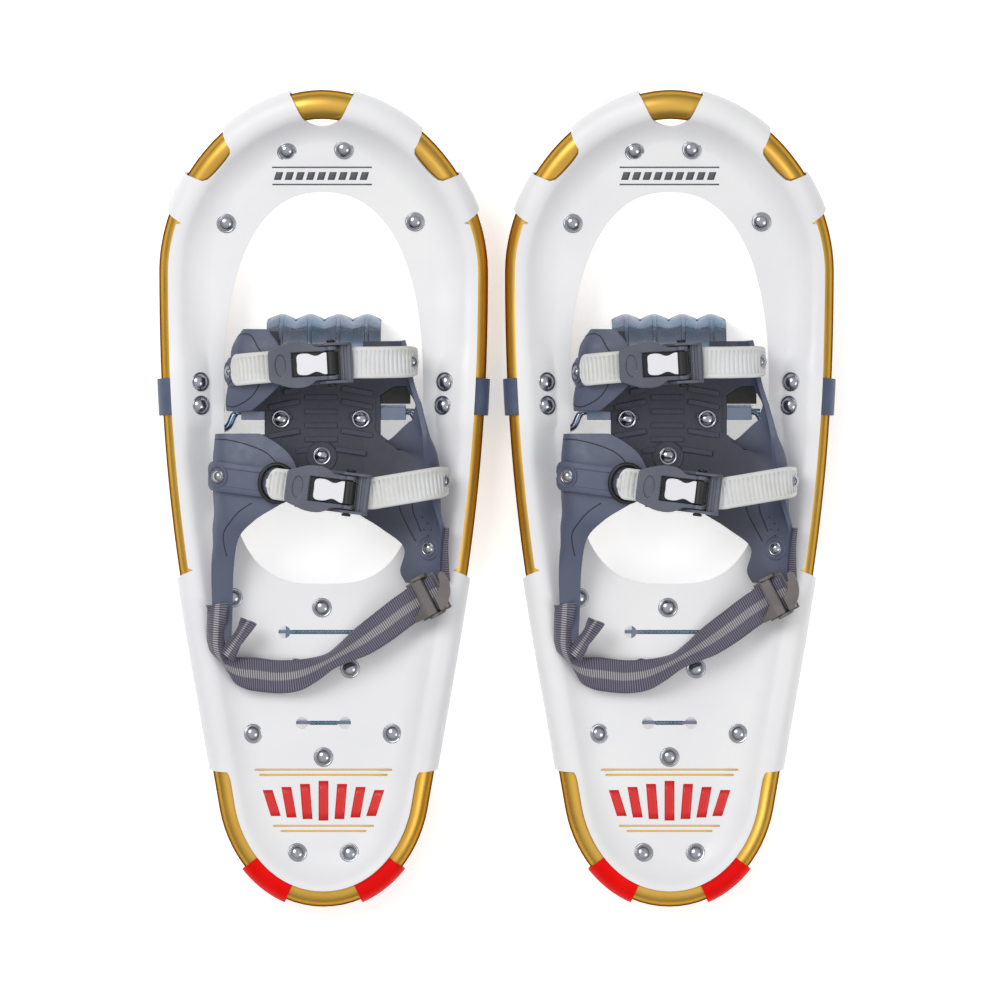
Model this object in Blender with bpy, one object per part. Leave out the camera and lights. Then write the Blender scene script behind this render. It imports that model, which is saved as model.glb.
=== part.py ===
"""A pair of tube-frame snowshoes, built as one object for each physical piece."""

import math

import bmesh
import bpy
from mathutils import Matrix, Vector

MM = 0.001

# Overall sizes
SHOE_LENGTH = 533.4 * MM
SHOE_GAP = 11.1 * MM
GAP = 0.3 * MM

# Frame tube, measured on its centre line
TUBE_RADIUS = 9.5 * MM
TUBE_SIDES = 10
TOE_HALF_WIDTH = 98.3 * MM
TOE_ROUNDNESS = 1.88
SHOULDER_Y = SHOE_LENGTH / 2 - 116.7 * MM
TAIL_HALF_WIDTH = 59 * MM
TAIL_START_Y = -SHOE_LENGTH / 2 + 66.7 * MM
TAIL_TAPER = 0.17
TOE_RISE = 36 * MM
TOE_RISE_START_Y = SHOE_LENGTH / 2 - 141.7 * MM
SHOE_SPACING = 2 * (TOE_HALF_WIDTH + TUBE_RADIUS) + SHOE_GAP

# Deck sheet
DECK_Z = 30 * MM
DECK_ABOVE_TUBE = 3 * MM
DECK_THICKNESS = 1.6 * MM
DECK_CLEARANCE = 1.5 * MM
DECK_LEAN = 22
OPENING_HALF_WIDTH = 65.2 * MM
OPENING_FRONT_Y = SHOE_LENGTH / 2 - 65.7 * MM
OPENING_BEFORE_SLOT = 31.5 * MM
TOE_NOTCH_X = 19.7 * MM
TOE_NOTCH_DEPTH = 13.4 * MM
CORNER_NOTCH_X = 56.5 * MM
CORNER_NOTCH_END_Y = SHOE_LENGTH / 2 - 52.7 * MM
CORNER_NOTCH_DEPTH = 6.5 * MM
FRONT_FLAP_END_Y = SHOE_LENGTH / 2 - 83.7 * MM
SIDE_OVERHANG = 3 * MM
SIDE_STATIONS = (82, 52, 34, 16, -16, -34, -62, -90)
REAR_FLAP_START_Y = -46 * MM
REAR_FLAP_END_Y = TAIL_START_Y + 22 * MM
TAIL_EDGE = 12.6 * MM
FLAP_RETURN = 34 * MM
SLOT_WIDTH = 4 * MM
FRONT_SLOT_Y = -SHOE_LENGTH / 2 + 180.2 * MM
OPENING_REAR_Y = FRONT_SLOT_Y + OPENING_BEFORE_SLOT
OPENING_Y = (OPENING_FRONT_Y + OPENING_REAR_Y) / 2
OPENING_HALF_LENGTH = (OPENING_FRONT_Y - OPENING_REAR_Y) / 2
FRONT_SLOT_LENGTH = 59 * MM
REAR_SLOT_Y = FRONT_SLOT_Y - 59.5 * MM
REAR_SLOT_LENGTH = 36 * MM

# Rivets
RIVET_HEAD_RADIUS = 5 * MM
RIVET_HEAD_HEIGHT = 2.6 * MM
RIVET_SHANK_RADIUS = 2.0 * MM
RIVET_SIDES = 8
BORE_SIDES = 8

# Pivot
PIVOT_Y = 58 * MM
AXLE_BELOW_DECK = 6.6 * MM
AXLE_RADIUS = 2.3 * MM
AXLE_LEG_X = 71 * MM
AXLE_BEND = (
    (54.6, 58), (57.2, 57.2), (59.4, 55), (60.8, 51.6), (62.6, 48.4), (65.4, 46.8), (68.4, 47.6), (70.4, 50.8),
)
BAND_Y = 68 * MM
BAND_WIDTH = 24 * MM
BAND_THICKNESS = 2 * MM
BAND_RIVET_SPREAD = 14 * MM
BAND_RIVET_X = 76.2 * MM

# Tail tabs
TAB_X = 34 * MM
TAB_WIDTH = 30 * MM
TAB_THICKNESS = 1.4 * MM
TAB_LEAN = 20
TAB_RIVET = (17, TAIL_START_Y / MM - 31)

# Toe crampon
STEEL = 2 * MM
CLAW_HALF_WIDTH = 37.5 * MM
PLATE_FRONT_Y = 104 * MM
PLATE_REAR_Y = 20 * MM
FRONT_TIP_Y = 122 * MM
REAR_TIP_Y = 15 * MM
TOOTH_DEPTH = 9 * MM
TEETH = 4
KNUCKLE_RADIUS = 4.7 * MM
KNUCKLE_END = 54 * MM
KNUCKLE_START = 26 * MM
BED_RIVETS = ((-27.8, 53), (24.6, 53), (-1, 28.8))

# Heel crampon, with places measured from the front blade
HEEL_PLATE = (
    (-24, 23.5), (24, 23.5), (26, -31.5), (9, -37.5), (9, -89.5), (-9, -89.5), (-9, -37.5), (-26, -31.5),
)
FRONT_BLADE_HALF = 34 * MM
REAR_BLADE_HALF = 24 * MM
HEEL_RIVETS = ((-1, 16), (-18.5, -23.5), (17.5, -24), (0, -81.9))

# Harness
BED_THICKNESS = 4 * MM
PAD = (-14, 11, 37, 98)
PAD_HEIGHT = 0.6 * MM
WALL = 3 * MM
BED_OUTLINE = (
    (-34, 100), (35, 100), (37.5, 84), (37.5, 40), (31, 15), (8, 9), (-14, 14), (-30, 22), (-38.5, 40), (-38.5, 84),
)
TOE_WING = (
    (110, (-30, 33), (-40, 34), (-46, 38), (-50, 44), (-50, 50), (-46, 54), (-39, 57)),
    (101, (-28, 32.5), (-45, 33.5), (-53, 38), (-57, 45), (-55.5, 51.5), (-49, 57), (-33, 61)),
    (90, (-28, 32.5), (-47, 33.5), (-54.5, 38), (-58, 45), (-55.5, 52.5), (-48, 58.5), (-26, 62.6)),
    (76, (-28, 32.5), (-47, 33.5), (-54.5, 38), (-58, 45), (-55.5, 52.5), (-48, 58.5), (-27, 62.3)),
    (66, (-28, 32.5), (-47, 33.5), (-54.5, 38), (-58, 44.5), (-56, 51), (-50, 56), (-38, 60)),
    (58, (-30, 32.7), (-46, 33.7), (-54, 38), (-57.5, 44), (-56.5, 48.5), (-53.5, 52), (-48, 55)),
)
HEEL_WING = (
    (42, (-28, 32.7), (-54, 34.7), (-64, 40), (-69.5, 48), (-69.5, 56), (-63, 61), (-45, 64.5)),
    (30, (-28, 32.5), (-54, 34.7), (-64, 40), (-69.5, 48.5), (-69, 57), (-60, 63.5), (-31, 68)),
    (16, (-26, 32.5), (-54, 35), (-64, 40), (-69.5, 49), (-68, 57.5), (-58, 64.5), (-16, 70)),
    (2, (-38, 34), (-56, 36), (-65, 41), (-69.5, 48.5), (-68, 56.5), (-58, 63.5), (-20, 69)),
    (-12, (-66, 42), (-68, 45), (-69.5, 48.5), (-69, 53), (-66, 57.5), (-59, 62), (-42, 65.5)),
    (-24, (-69, 45.5), (-70, 48), (-70, 50.5), (-68.5, 53), (-66, 55), (-62, 56.5), (-55, 57.5)),
    (-45, (-72, 46), (-70, 47), (-67.5, 48), (-65, 48.5), (-62, 49), (-59, 49), (-56, 49)),
    (-70, (-72, 42.6), (-70, 42.8), (-67.5, 43), (-65, 43), (-62, 43), (-59, 43), (-56, 42.8)),
    (-92, (-69, 40.6), (-67.5, 40.7), (-66, 40.8), (-64, 40.8), (-61, 40.8), (-58, 40.8), (-55, 40.6)),
)
RIGHT_WALL = (
    (104, (26, 32.5), (38, 33), (45, 35), (49.5, 39), (52, 44), (53, 49)),
    (92, (26, 32.5), (40, 33), (48, 35.5), (53, 40), (55.3, 45), (56.2, 50)),
    (73, (26, 32.5), (40, 33), (48, 35.5), (53.5, 40), (56.2, 45), (57.5, 50)),
    (47, (26, 32.5), (44, 33.5), (55, 36.5), (62, 41.5), (66, 46.5), (68, 51.5)),
    (30, (26, 32.5), (48, 34), (60, 37), (67.5, 42), (72, 48), (74, 54)),
    (13, (26, 32.5), (50, 34.5), (62, 37.5), (70, 43), (74.5, 50), (76, 57)),
    (-4, (18, 33), (46, 34.5), (62, 38), (70.5, 43), (75, 49), (77, 55)),
    (-18, (38, 34.5), (52, 35.5), (64, 38.5), (71, 42.5), (75.5, 47), (78, 51.5)),
    (-33, (58, 37), (62, 37.7), (67, 39.5), (71.5, 42), (75, 44.5), (77.5, 47)),
    (-46, (58, 37.2), (62, 37.8), (66, 38.8), (70, 40), (73, 41.2), (76, 42.5)),
    (-57, (63, 37.6), (65, 38), (67.5, 38.6), (70, 39.2), (72, 39.8), (74, 40.4)),
)
WINDOW_ROWS = (2,)
WINDOW_COLUMNS = (0, 1, 2)

# Straps
ARM_WIDTH = 18 * MM
ARM_THICKNESS = 2.2 * MM
LADDER_WIDTH = 20.5 * MM
LADDER_THICKNESS = 2.6 * MM
TOE_ARM = (
    (-61.2, 82.5, 43), (-61, 82.8, 47), (-58.4, 83.4, 54.8), (-50.2, 84.5, 61.5), (-40, 85.6, 64.8),
    (-27.5, 86.6, 66.8), (-20, 87.1, 67), (0, 88.1, 67),
)
TOE_LADDER = (
    (60.7, 90.5, 40), (60.7, 90.4, 47), (59.6, 90.2, 54), (54, 89.8, 62), (45, 89.4, 67.6), (34, 89.1, 71.2),
    (22, 89, 72.3), (6, 88.4, 72.3), (-10, 87.6, 72.3), (-27, 86.7, 72.3), (-37, 85.9, 71.4), (-46, 85.2, 68.6),
    (-53.5, 84.5, 64.6), (-58.6, 84, 59.6),
)
INSTEP_ARM = (
    (-72.6, 16, 45.5), (-72.8, 16, 50), (-71.2, 15.8, 59), (-66.5, 15.2, 63.8), (-59.6, 14.3, 67.8), (-45, 12.4, 70.5),
    (-30, 10.5, 72.3), (-16, 8.8, 73), (8, 5.8, 73),
)
INSTEP_LADDER = (
    (80.8, 14.5, 44), (81, 14.4, 51), (80, 13.8, 58.5), (74.5, 12.2, 66.5), (64, 9.6, 72.6), (50, 6, 76.6),
    (38, 3.2, 78), (32, 2.9, 78.4), (18, 4.6, 78.4), (0, 6.8, 78.4), (-16, 8.8, 78.4), (-26, 10, 78.3),
    (-38, 11.5, 77.4),
)
STRAP_RIVET_HEIGHT = 2 * MM
KEEPER_HALF = (9, 12)
KEEPER_WIRE = 1.2 * MM
KEEPER_CENTRE = (-27.6, 10.6, 74.9)
KEEPER_SLOPE = 0.067

# Ratchet buckles, on axes with the origin on the pin and x along the strap
TOE_PIN = (6.9, 88.5, 79.5)
TOE_BUCKLE_TURN = 3
INSTEP_PIN = (18, 4.6, 85.5)
INSTEP_BUCKLE_TURN = -7
PIN_RADIUS = 2 * MM
PIN_HALF_LENGTH = 15 * MM
BASE_FLOOR = (-34, 12, -11, -9)
BASE_HALF_WIDTH = 13.3 * MM
CHEEK = 2 * MM
CHEEK_START = -9 * MM
CHEEK_PAST_FLOOR = 1.5 * MM
CHEEK_TOP = 3.4 * MM
LIP = (9, 13.5, -5.2, -2.8)
LEVER_THICKNESS = 4 * MM
LEVER_OUTLINE = ((-41, 0), (-40, 7), (-36, 11.5), (-28, 14.6), (-18, 15), (-12.5, 13), (-11, 10.8), (-1, 10.8))
LEVER_WINDOW = (-26, 8)
HUB_RADIUS = 4 * MM
TAB_OUTLINE = ((-22.5, 0), (-22, 6), (-16, 7), (-10, 5.2), (-5, 7), (-2, 7))
BORE_CLEARANCE = 0.3 * MM

# Heel strap
WEBBING_WIDTH = 22 * MM
WEBBING_THICKNESS = 1.8 * MM
WEBBING_ON_ARM = ((-64, -68, 46.4, 1, 0, 0), (-63.6, -80, 45.3, 1, 0, 0), (-63, -92, 44.5, 1, 0, 0))
WEBBING_FOLD = (-62.5, -111.5)
WEBBING_FOLD_Z = (44, 41.6)
WEBBING_RUN = (
    (-44, -112.6, 39.4, 0, -1, 0), (-30, -114, 37, 0, -1, 0), (-14, -113, 35.6, 0.1, -1, 0),
    (0, -109.5, 35.6, 0.3, -0.9, 0),
    (12, -103.5, 36.8, 0.5, -0.8, 0.15), (26, -94, 39, 0.55, -0.7, 0.25), (40, -81.5, 42.6, 0.5, -0.8, 0.15),
    (54.4, -70.2, 46.6, 0.46, -0.88, 0), (68.2, -62.9, 50.4, 0.46, -0.88, 0), (80, -56.6, 54.1, 0.46, -0.88, 0),
)
HEEL_TAB = (
    (80, -18, 47.2, 0.49, 0, 0.87), (78.8, -26, 44.3, 0.64, 0, 0.76), (77.4, -34, 41.6, 0.77, 0, 0.64),
    (75.6, -46, 38.6, 0.92, 0, 0.385), (75, -53, 38.4, 0.95, 0, 0.3),
)
HEEL_TAB_WIDTH = 17 * MM
CAM_PIN = (68, -63, 54.2)
CAM_X = (-0.85, -0.45, -0.27)
CAM_Y = (0.46, -0.88, 0)
CAM_HALF_WIDTH = 14.5 * MM
CAM_FLOOR = (-10, 11, -7, -5)
CAM_LEVER = (
    (-2.2, -0.8), (-2, 2.2), (3, 4.2), (10, 2.4), (15, -0.6), (14.2, -1.8), (8, 0.6), (3, 1), (1, -2.4), (-1.2, -2.4),
)


def clear_scene():
    for obj in list(bpy.data.objects):
        bpy.data.objects.remove(obj)


def scaled(points):
    return [Vector(point) * MM for point in points]


def bezier(p0, p1, p2, p3, t):
    a = p0.lerp(p1, t)
    b = p1.lerp(p2, t)
    c = p2.lerp(p3, t)
    return a.lerp(b, t).lerp(b.lerp(c, t), t)


def half_outline():
    """The tube's centre line in plan on the +X side, from the toe to the tail."""
    end = SHOE_LENGTH / 2 - TUBE_RADIUS
    points = []
    for i in range(60):
        angle = math.pi / 2 * (1 - i / 60)
        power = 2 / TOE_ROUNDNESS
        x = TOE_HALF_WIDTH * math.cos(angle) ** power
        points.append(Vector((x, SHOULDER_Y + (end - SHOULDER_Y) * math.sin(angle) ** power)))
    side = (
        Vector((TOE_HALF_WIDTH, SHOULDER_Y)),
        Vector((TOE_HALF_WIDTH, SHOULDER_Y - 150 * MM)),
        Vector((TAIL_HALF_WIDTH + TAIL_TAPER * 130 * MM, TAIL_START_Y + 130 * MM)),
        Vector((TAIL_HALF_WIDTH, TAIL_START_Y)),
    )
    tail = (
        side[3],
        Vector((TAIL_HALF_WIDTH - TAIL_TAPER * 30 * MM, TAIL_START_Y - 30 * MM)),
        Vector((TAIL_HALF_WIDTH * 0.54, -end)),
        Vector((0, -end)),
    )
    points += [bezier(*side, i / 90) for i in range(90)]
    points += [bezier(*tail, i / 50) for i in range(51)]
    return points


HALF = half_outline()
LOOP = HALF + [Vector((-p.x, p.y)) for p in HALF[-2:0:-1]]
STEPS = [0.0]
for here, there in zip(LOOP, LOOP[1:] + LOOP[:1]):
    STEPS.append(STEPS[-1] + (there - here).length)
ROUND = STEPS[-1]
TUBE_Z = DECK_Z - DECK_ABOVE_TUBE


def rise(y):
    share = max(0, y - TOE_RISE_START_Y) / (SHOE_LENGTH / 2 - TOE_RISE_START_Y)
    return TOE_RISE * share**2


def slope(y):
    span = SHOE_LENGTH / 2 - TOE_RISE_START_Y
    return 2 * TOE_RISE * max(0, y - TOE_RISE_START_Y) / span**2


def plan_at(s):
    s = s % ROUND
    low = 0
    high = len(LOOP)
    while high - low > 1:
        middle = (low + high) // 2
        if STEPS[middle] <= s:
            low = middle
        else:
            high = middle
    share = (s - STEPS[low]) / (STEPS[low + 1] - STEPS[low])
    return LOOP[low].lerp(LOOP[(low + 1) % len(LOOP)], share)


def tube_frame(s):
    """Centre, inward direction and upward direction of the tube at this distance round it."""
    here = plan_at(s)
    ahead = plan_at(s + 2 * MM) - plan_at(s - 2 * MM)
    lean = slope(here.y)
    along = Vector((ahead.x, ahead.y, lean * ahead.y)).normalized()
    inward = Vector((ahead.y, -ahead.x, -lean * ahead.x))
    inward = (inward - along * inward.dot(along)).normalized()
    centre = Vector((here.x, here.y, TUBE_Z + rise(here.y)))
    return centre, inward, inward.cross(along).normalized()


def s_where(axis, value):
    """Distance from the toe, down the +X side, to where the tube crosses this x or y."""
    for i in range(len(HALF) - 1):
        a = HALF[i][axis]
        b = HALF[i + 1][axis]
        if min(a, b) <= value <= max(a, b) and a != b:
            return STEPS[i] + (value - a) / (b - a) * (STEPS[i + 1] - STEPS[i])
    raise ValueError("the tube doesn't reach that place")


def shape(bm):
    bmesh.ops.recalc_face_normals(bm, faces=bm.faces)
    mesh = bpy.data.meshes.new("shape")
    bm.to_mesh(mesh)
    bm.free()
    return mesh


def as_object(mesh):
    obj = bpy.data.objects.new("shape", mesh)
    bpy.context.scene.collection.objects.link(obj)
    return obj


def baked(obj, helpers=()):
    bpy.context.view_layer.update()
    graph = bpy.context.evaluated_depsgraph_get()
    mesh = bpy.data.meshes.new_from_object(obj.evaluated_get(graph))
    for used in (obj, *helpers):
        bpy.data.objects.remove(used)
    return mesh


def boolean(mesh, tools, operation):
    obj = as_object(mesh)
    helpers = [as_object(tool) for tool in tools]
    for helper in helpers:
        modifier = obj.modifiers.new(operation, "BOOLEAN")
        modifier.operation = operation
        modifier.solver = "EXACT"
        modifier.object = helper
    return baked(obj, helpers)


def add_grid(bm, rows, wrap=False, skip=()):
    """Quads between rows of points. wrap joins each row's last point to its first."""
    made = [[bm.verts.new(point) for point in row] for row in rows]
    for i in range(len(made) - 1):
        count = len(made[i]) if wrap else len(made[i]) - 1
        for j in range(count):
            if (i, j) not in skip:
                k = (j + 1) % len(made[i])
                bm.faces.new((made[i][j], made[i][k], made[i + 1][k], made[i + 1][j]))
    return made


def thickened(bm, thickness):
    loose = [vert for vert in bm.verts if not vert.link_faces]
    bmesh.ops.delete(bm, geom=loose, context="VERTS")
    obj = as_object(shape(bm))
    modifier = obj.modifiers.new("Solidify", "SOLIDIFY")
    modifier.thickness = thickness
    modifier.offset = 0
    modifier.use_even_offset = True
    return baked(obj)


def sheet(rows, thickness, wrap=False, skip=()):
    bm = bmesh.new()
    add_grid(bm, rows, wrap, skip)
    return thickened(bm, thickness)


def prism(outline, z0, z1):
    bm = bmesh.new()
    face = bm.faces.new([bm.verts.new((x, y, z0)) for x, y in outline])
    made = bmesh.ops.extrude_face_region(bm, geom=[face])["geom"]
    moved = [part for part in made if isinstance(part, bmesh.types.BMVert)]
    bmesh.ops.translate(bm, verts=moved, vec=(0, 0, z1 - z0))
    return shape(bm)


def box(x0, x1, y0, y1, z0, z1):
    return prism(((x0, y0), (x1, y0), (x1, y1), (x0, y1)), z0, z1)


def turned(profile, sides):
    """A solid of revolution about Z from (radius, height) points, closed on the axis or on itself."""
    bm = bmesh.new()
    verts = [bm.verts.new((radius, 0, height)) for radius, height in profile]
    edges = [bm.edges.new(pair) for pair in zip(verts, verts[1:])]
    if profile[0][0] > 0:
        edges.append(bm.edges.new((verts[-1], verts[0])))
    bmesh.ops.spin(
        bm, geom=verts + edges, cent=(0, 0, 0), axis=(0, 0, 1), angle=2 * math.pi, steps=sides, use_merge=True
    )
    bmesh.ops.remove_doubles(bm, verts=bm.verts, dist=1e-6)
    return shape(bm)


def cylinder(radius, z0, z1, sides=RIVET_SIDES):
    return turned(((0, z0), (radius, z0), (radius, z1), (0, z1)), sides)


def ring(inner, outer, z0, z1, sides):
    return turned(((inner, z0), (outer, z0), (outer, z1), (inner, z1)), sides)


def moved(mesh, matrix):
    mesh.transform(matrix)
    return mesh


def along_y(mesh, place):
    return moved(mesh, Matrix.Translation(place) @ Matrix.Rotation(-math.pi / 2, 4, "X"))


def along_x(mesh, place):
    return moved(mesh, Matrix.Translation(place) @ Matrix.Rotation(math.pi / 2, 4, "Y"))


def rivet(place, top, bottom):
    """A domed rivet standing at this (x, y) in mm, its head on top and a flat end below."""
    head = RIVET_HEAD_RADIUS
    high = RIVET_HEAD_HEIGHT
    profile = (
        (0, top + high), (head * 0.72, top + high * 0.68), (head, top),
        (RIVET_SHANK_RADIUS, top), (RIVET_SHANK_RADIUS, bottom), (0, bottom),
    )
    return moved(turned(profile, RIVET_SIDES), Matrix.Translation((place[0] * MM, place[1] * MM, 0)))


def hole(place, z0, z1):
    drill = cylinder(RIVET_SHANK_RADIUS + GAP + 0.1 * MM, z0, z1, RIVET_SIDES)
    return moved(drill, Matrix.Translation((place[0] * MM, place[1] * MM, 0)))


def section(point, side, up):
    return (point - side - up, point + side - up, point + side + up, point - side + up)


def strap_sections(points, across, width, thickness):
    """Cross-sections of a flat strap along these points. across holds the width direction at each of them."""
    found = []
    for i, point in enumerate(points):
        along = points[min(i + 1, len(points) - 1)] - points[max(i - 1, 0)]
        side = Vector(across[i])
        side = (side - along * side.dot(along) / along.length_squared).normalized() * width / 2
        found.append(section(point, side, side.cross(along).normalized() * thickness / 2))
    return found


def solid_strap(sections):
    bm = bmesh.new()
    made = add_grid(bm, sections, wrap=True)
    bm.faces.new(made[0])
    bm.faces.new(made[-1])
    return shape(bm)


def strap(points, across, width, thickness):
    return solid_strap(strap_sections(points, across, width, thickness))


def smooth_step(share):
    share = min(1, max(0, share))
    return share * share * (3 - 2 * share)


def over_tube(radius, level, lean):
    """Points (inset, height) of a sheet that leaves the tube's top, drops at this angle and goes on at level."""
    leave = math.radians(lean)
    points = [(radius * math.cos(a), radius * math.sin(a)) for a in (math.pi / 2, (math.pi / 2 + leave) / 2, leave)]
    d, b = points[-1]
    points.append((d + (b - level) * math.tan(leave), level))
    return points


def deck_radius(y):
    """The deck's height over the tube, lifted where it passes over the pivot bands."""
    bare = TUBE_RADIUS + DECK_CLEARANCE + DECK_THICKNESS / 2
    near = 1 - smooth_step((abs(y - BAND_Y) - BAND_WIDTH * 0.7) / (16 * MM))
    return bare + near * (BAND_THICKNESS + 2 * GAP)


def opening_at(direction):
    power = 3 if direction.y < 0 else 2.6
    across = abs(direction.x) / OPENING_HALF_WIDTH
    along = abs(direction.y) / OPENING_HALF_LENGTH
    return Vector((0, OPENING_Y)) + direction / (across**power + along**power) ** (1 / power)


def deck_stations():
    """(distance round the tube, inset of the deck's edge, whether a flap wraps the tube) down the +X side."""
    marks = [
        s_where(0, TOE_NOTCH_X), s_where(0, CORNER_NOTCH_X), s_where(1, CORNER_NOTCH_END_Y),
        s_where(1, FRONT_FLAP_END_Y), s_where(1, REAR_FLAP_START_Y), s_where(1, REAR_FLAP_END_Y), ROUND / 2,
    ]
    found = []
    for i in range(4):
        share = i / 4
        found.append((marks[0] * share, TOE_NOTCH_DEPTH * math.sqrt(1 - share**2), False))
    found += [(marks[0] + (marks[1] - marks[0]) * i / 3, 0, True) for i in range(4)]
    for i in range(1, 5):
        share = i / 5
        bow = math.sqrt(1 - (2 * share - 1) ** 2)
        found.append((marks[1] + (marks[2] - marks[1]) * share, CORNER_NOTCH_DEPTH * bow, False))
    found += [(marks[2] + (marks[3] - marks[2]) * i / 2, 0, True) for i in range(3)]
    found.append((marks[3] + 2 * MM, -SIDE_OVERHANG, False))
    found += [(s_where(1, BAND_Y + away * MM), -SIDE_OVERHANG, False) for away in SIDE_STATIONS]
    found.append((marks[4] - 2 * MM, -SIDE_OVERHANG, False))
    found += [(marks[4] + (marks[5] - marks[4]) * i / 4, 0, True) for i in range(5)]
    found.append((marks[5] + 2 * MM, TAIL_EDGE * 0.7, False))
    found.append((marks[5] + 6 * MM, TAIL_EDGE, False))
    found += [(marks[5] + (marks[6] - marks[5]) * i / 6, TAIL_EDGE, False) for i in range(1, 7)]
    return found


def deck_row(s, edge):
    centre, inward, up = tube_frame(s)
    radius = deck_radius(centre.y)
    profile = over_tube(radius, DECK_ABOVE_TUBE, DECK_LEAN)
    row = []
    for i, (d, b) in enumerate(profile):
        moved_in = d if i else edge
        moved_in = max(moved_in, edge + i * MM)
        if moved_in > d:
            b = height_at(moved_in, profile)
        if i == 0 and edge <= 0:
            b = math.sqrt(radius**2 - edge**2)
        row.append(centre + inward * moved_in + up * b)
    inner = opening_at(Vector((centre.x, centre.y - OPENING_Y)).normalized())
    for share in (0.5, 1):
        plan = row[3].xy.lerp(inner, share)
        row.append(Vector((plan.x, plan.y, DECK_Z + rise(plan.y))))
    return row


def height_at(d, profile):
    for (d0, b0), (d1, b1) in zip(profile, profile[1:]):
        if d0 <= d <= d1:
            return b0 + (b1 - b0) * (d - d0) / (d1 - d0)
    return profile[-1][1]


def flap_row(s):
    """The part of a wrapped flap beyond the tube's top: round the outside, under and back inward."""
    centre, inward, up = tube_frame(s)
    radius = deck_radius(centre.y)
    row = []
    for degrees in (60, 30, 0, -30, -60, -90, -120):
        angle = math.radians(degrees)
        row.append(centre - inward * radius * math.cos(angle) + up * radius * math.sin(angle))
    below = DECK_ABOVE_TUBE - DECK_THICKNESS - 2 * GAP
    for d, level in ((13 * MM, -3.6 * MM), (19 * MM, below - 0.6 * MM), (FLAP_RETURN, below)):
        row.append(centre + inward * d + up * level)
    return row


def deck():
    half = deck_stations()
    stations = half + [(ROUND - s, edge, flap) for s, edge, flap in half[-2:0:-1]]
    bm = bmesh.new()
    rows = [deck_row(s, edge) for s, edge, flap in stations]
    made = add_grid(bm, rows)
    for a, b in zip(made[-1], made[-1][1:]):
        i = made[-1].index(a)
        bm.faces.new((a, b, made[0][i + 1], made[0][i]))
    flaps = {}
    for i, (s, edge, flap) in enumerate(stations):
        if flap:
            flaps[i] = [made[i][0]] + [bm.verts.new(point) for point in flap_row(s)]
    for i, row in flaps.items():
        after = flaps.get(i + 1)
        if after:
            for j in range(len(row) - 1):
                bm.faces.new((row[j + 1], row[j], after[j], after[j + 1]))
    mesh = thickened(bm, DECK_THICKNESS)
    cuts = [slot(FRONT_SLOT_Y, FRONT_SLOT_LENGTH), slot(REAR_SLOT_Y, REAR_SLOT_LENGTH)]
    low = DECK_Z - 3 * MM
    high = DECK_Z + 3 * MM
    for x, y in (*from_blade(HEEL_RIVETS), *band_rivets(1), *band_rivets(-1), TAB_RIVET, (-TAB_RIVET[0], TAB_RIVET[1])):
        cuts.append(hole((x, y), low, high))
    return boolean(mesh, cuts, "DIFFERENCE")


def slot(y, length):
    """A slot across the deck with a round hole at each end."""
    end = length / 2 - SLOT_WIDTH
    points = []
    for i in range(8):
        angle = math.radians(-140 + i * 40)
        points.append((end + SLOT_WIDTH * math.cos(angle), y + SLOT_WIDTH * math.sin(angle)))
    half = SLOT_WIDTH / 2
    right = [(end - SLOT_WIDTH * 0.85, y - half)] + points[:8] + [(end - SLOT_WIDTH * 0.85, y + half)]
    outline = right + [(-px, 2 * y - py) for px, py in right]
    return prism(outline, DECK_Z - 3 * MM, DECK_Z + 3 * MM)


def from_blade(places):
    return [(x, y + FRONT_SLOT_Y / MM) for x, y in places]


def band_rivets(side):
    x = side * BAND_RIVET_X / MM
    middle = BAND_Y / MM
    spread = BAND_RIVET_SPREAD / MM / 2
    return ((x, middle - spread), (x, middle + spread))


def frame_tube():
    bm = bmesh.new()
    marks = (0, s_where(1, SHOULDER_Y), s_where(1, TAIL_START_Y), ROUND / 2)
    half = []
    for start, end, count in zip(marks, marks[1:], (12, 8, 9)):
        half += [start + (end - start) * i / count for i in range(count)]
    rows = []
    for s in half + [ROUND / 2] + [ROUND - s for s in reversed(half[1:])]:
        centre, inward, up = tube_frame(s)
        angles = [2 * math.pi * k / TUBE_SIDES for k in range(TUBE_SIDES)]
        rows.append([centre + TUBE_RADIUS * (inward * math.cos(a) + up * math.sin(a)) for a in angles])
    made = add_grid(bm, rows, wrap=True)
    for k in range(TUBE_SIDES):
        after = (k + 1) % TUBE_SIDES
        bm.faces.new((made[-1][k], made[-1][after], made[0][after], made[0][k]))
    return shape(bm)


def wrap_row(s, profile):
    centre, inward, up = tube_frame(s)
    return [centre + inward * d + up * b for d, b in profile]


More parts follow.
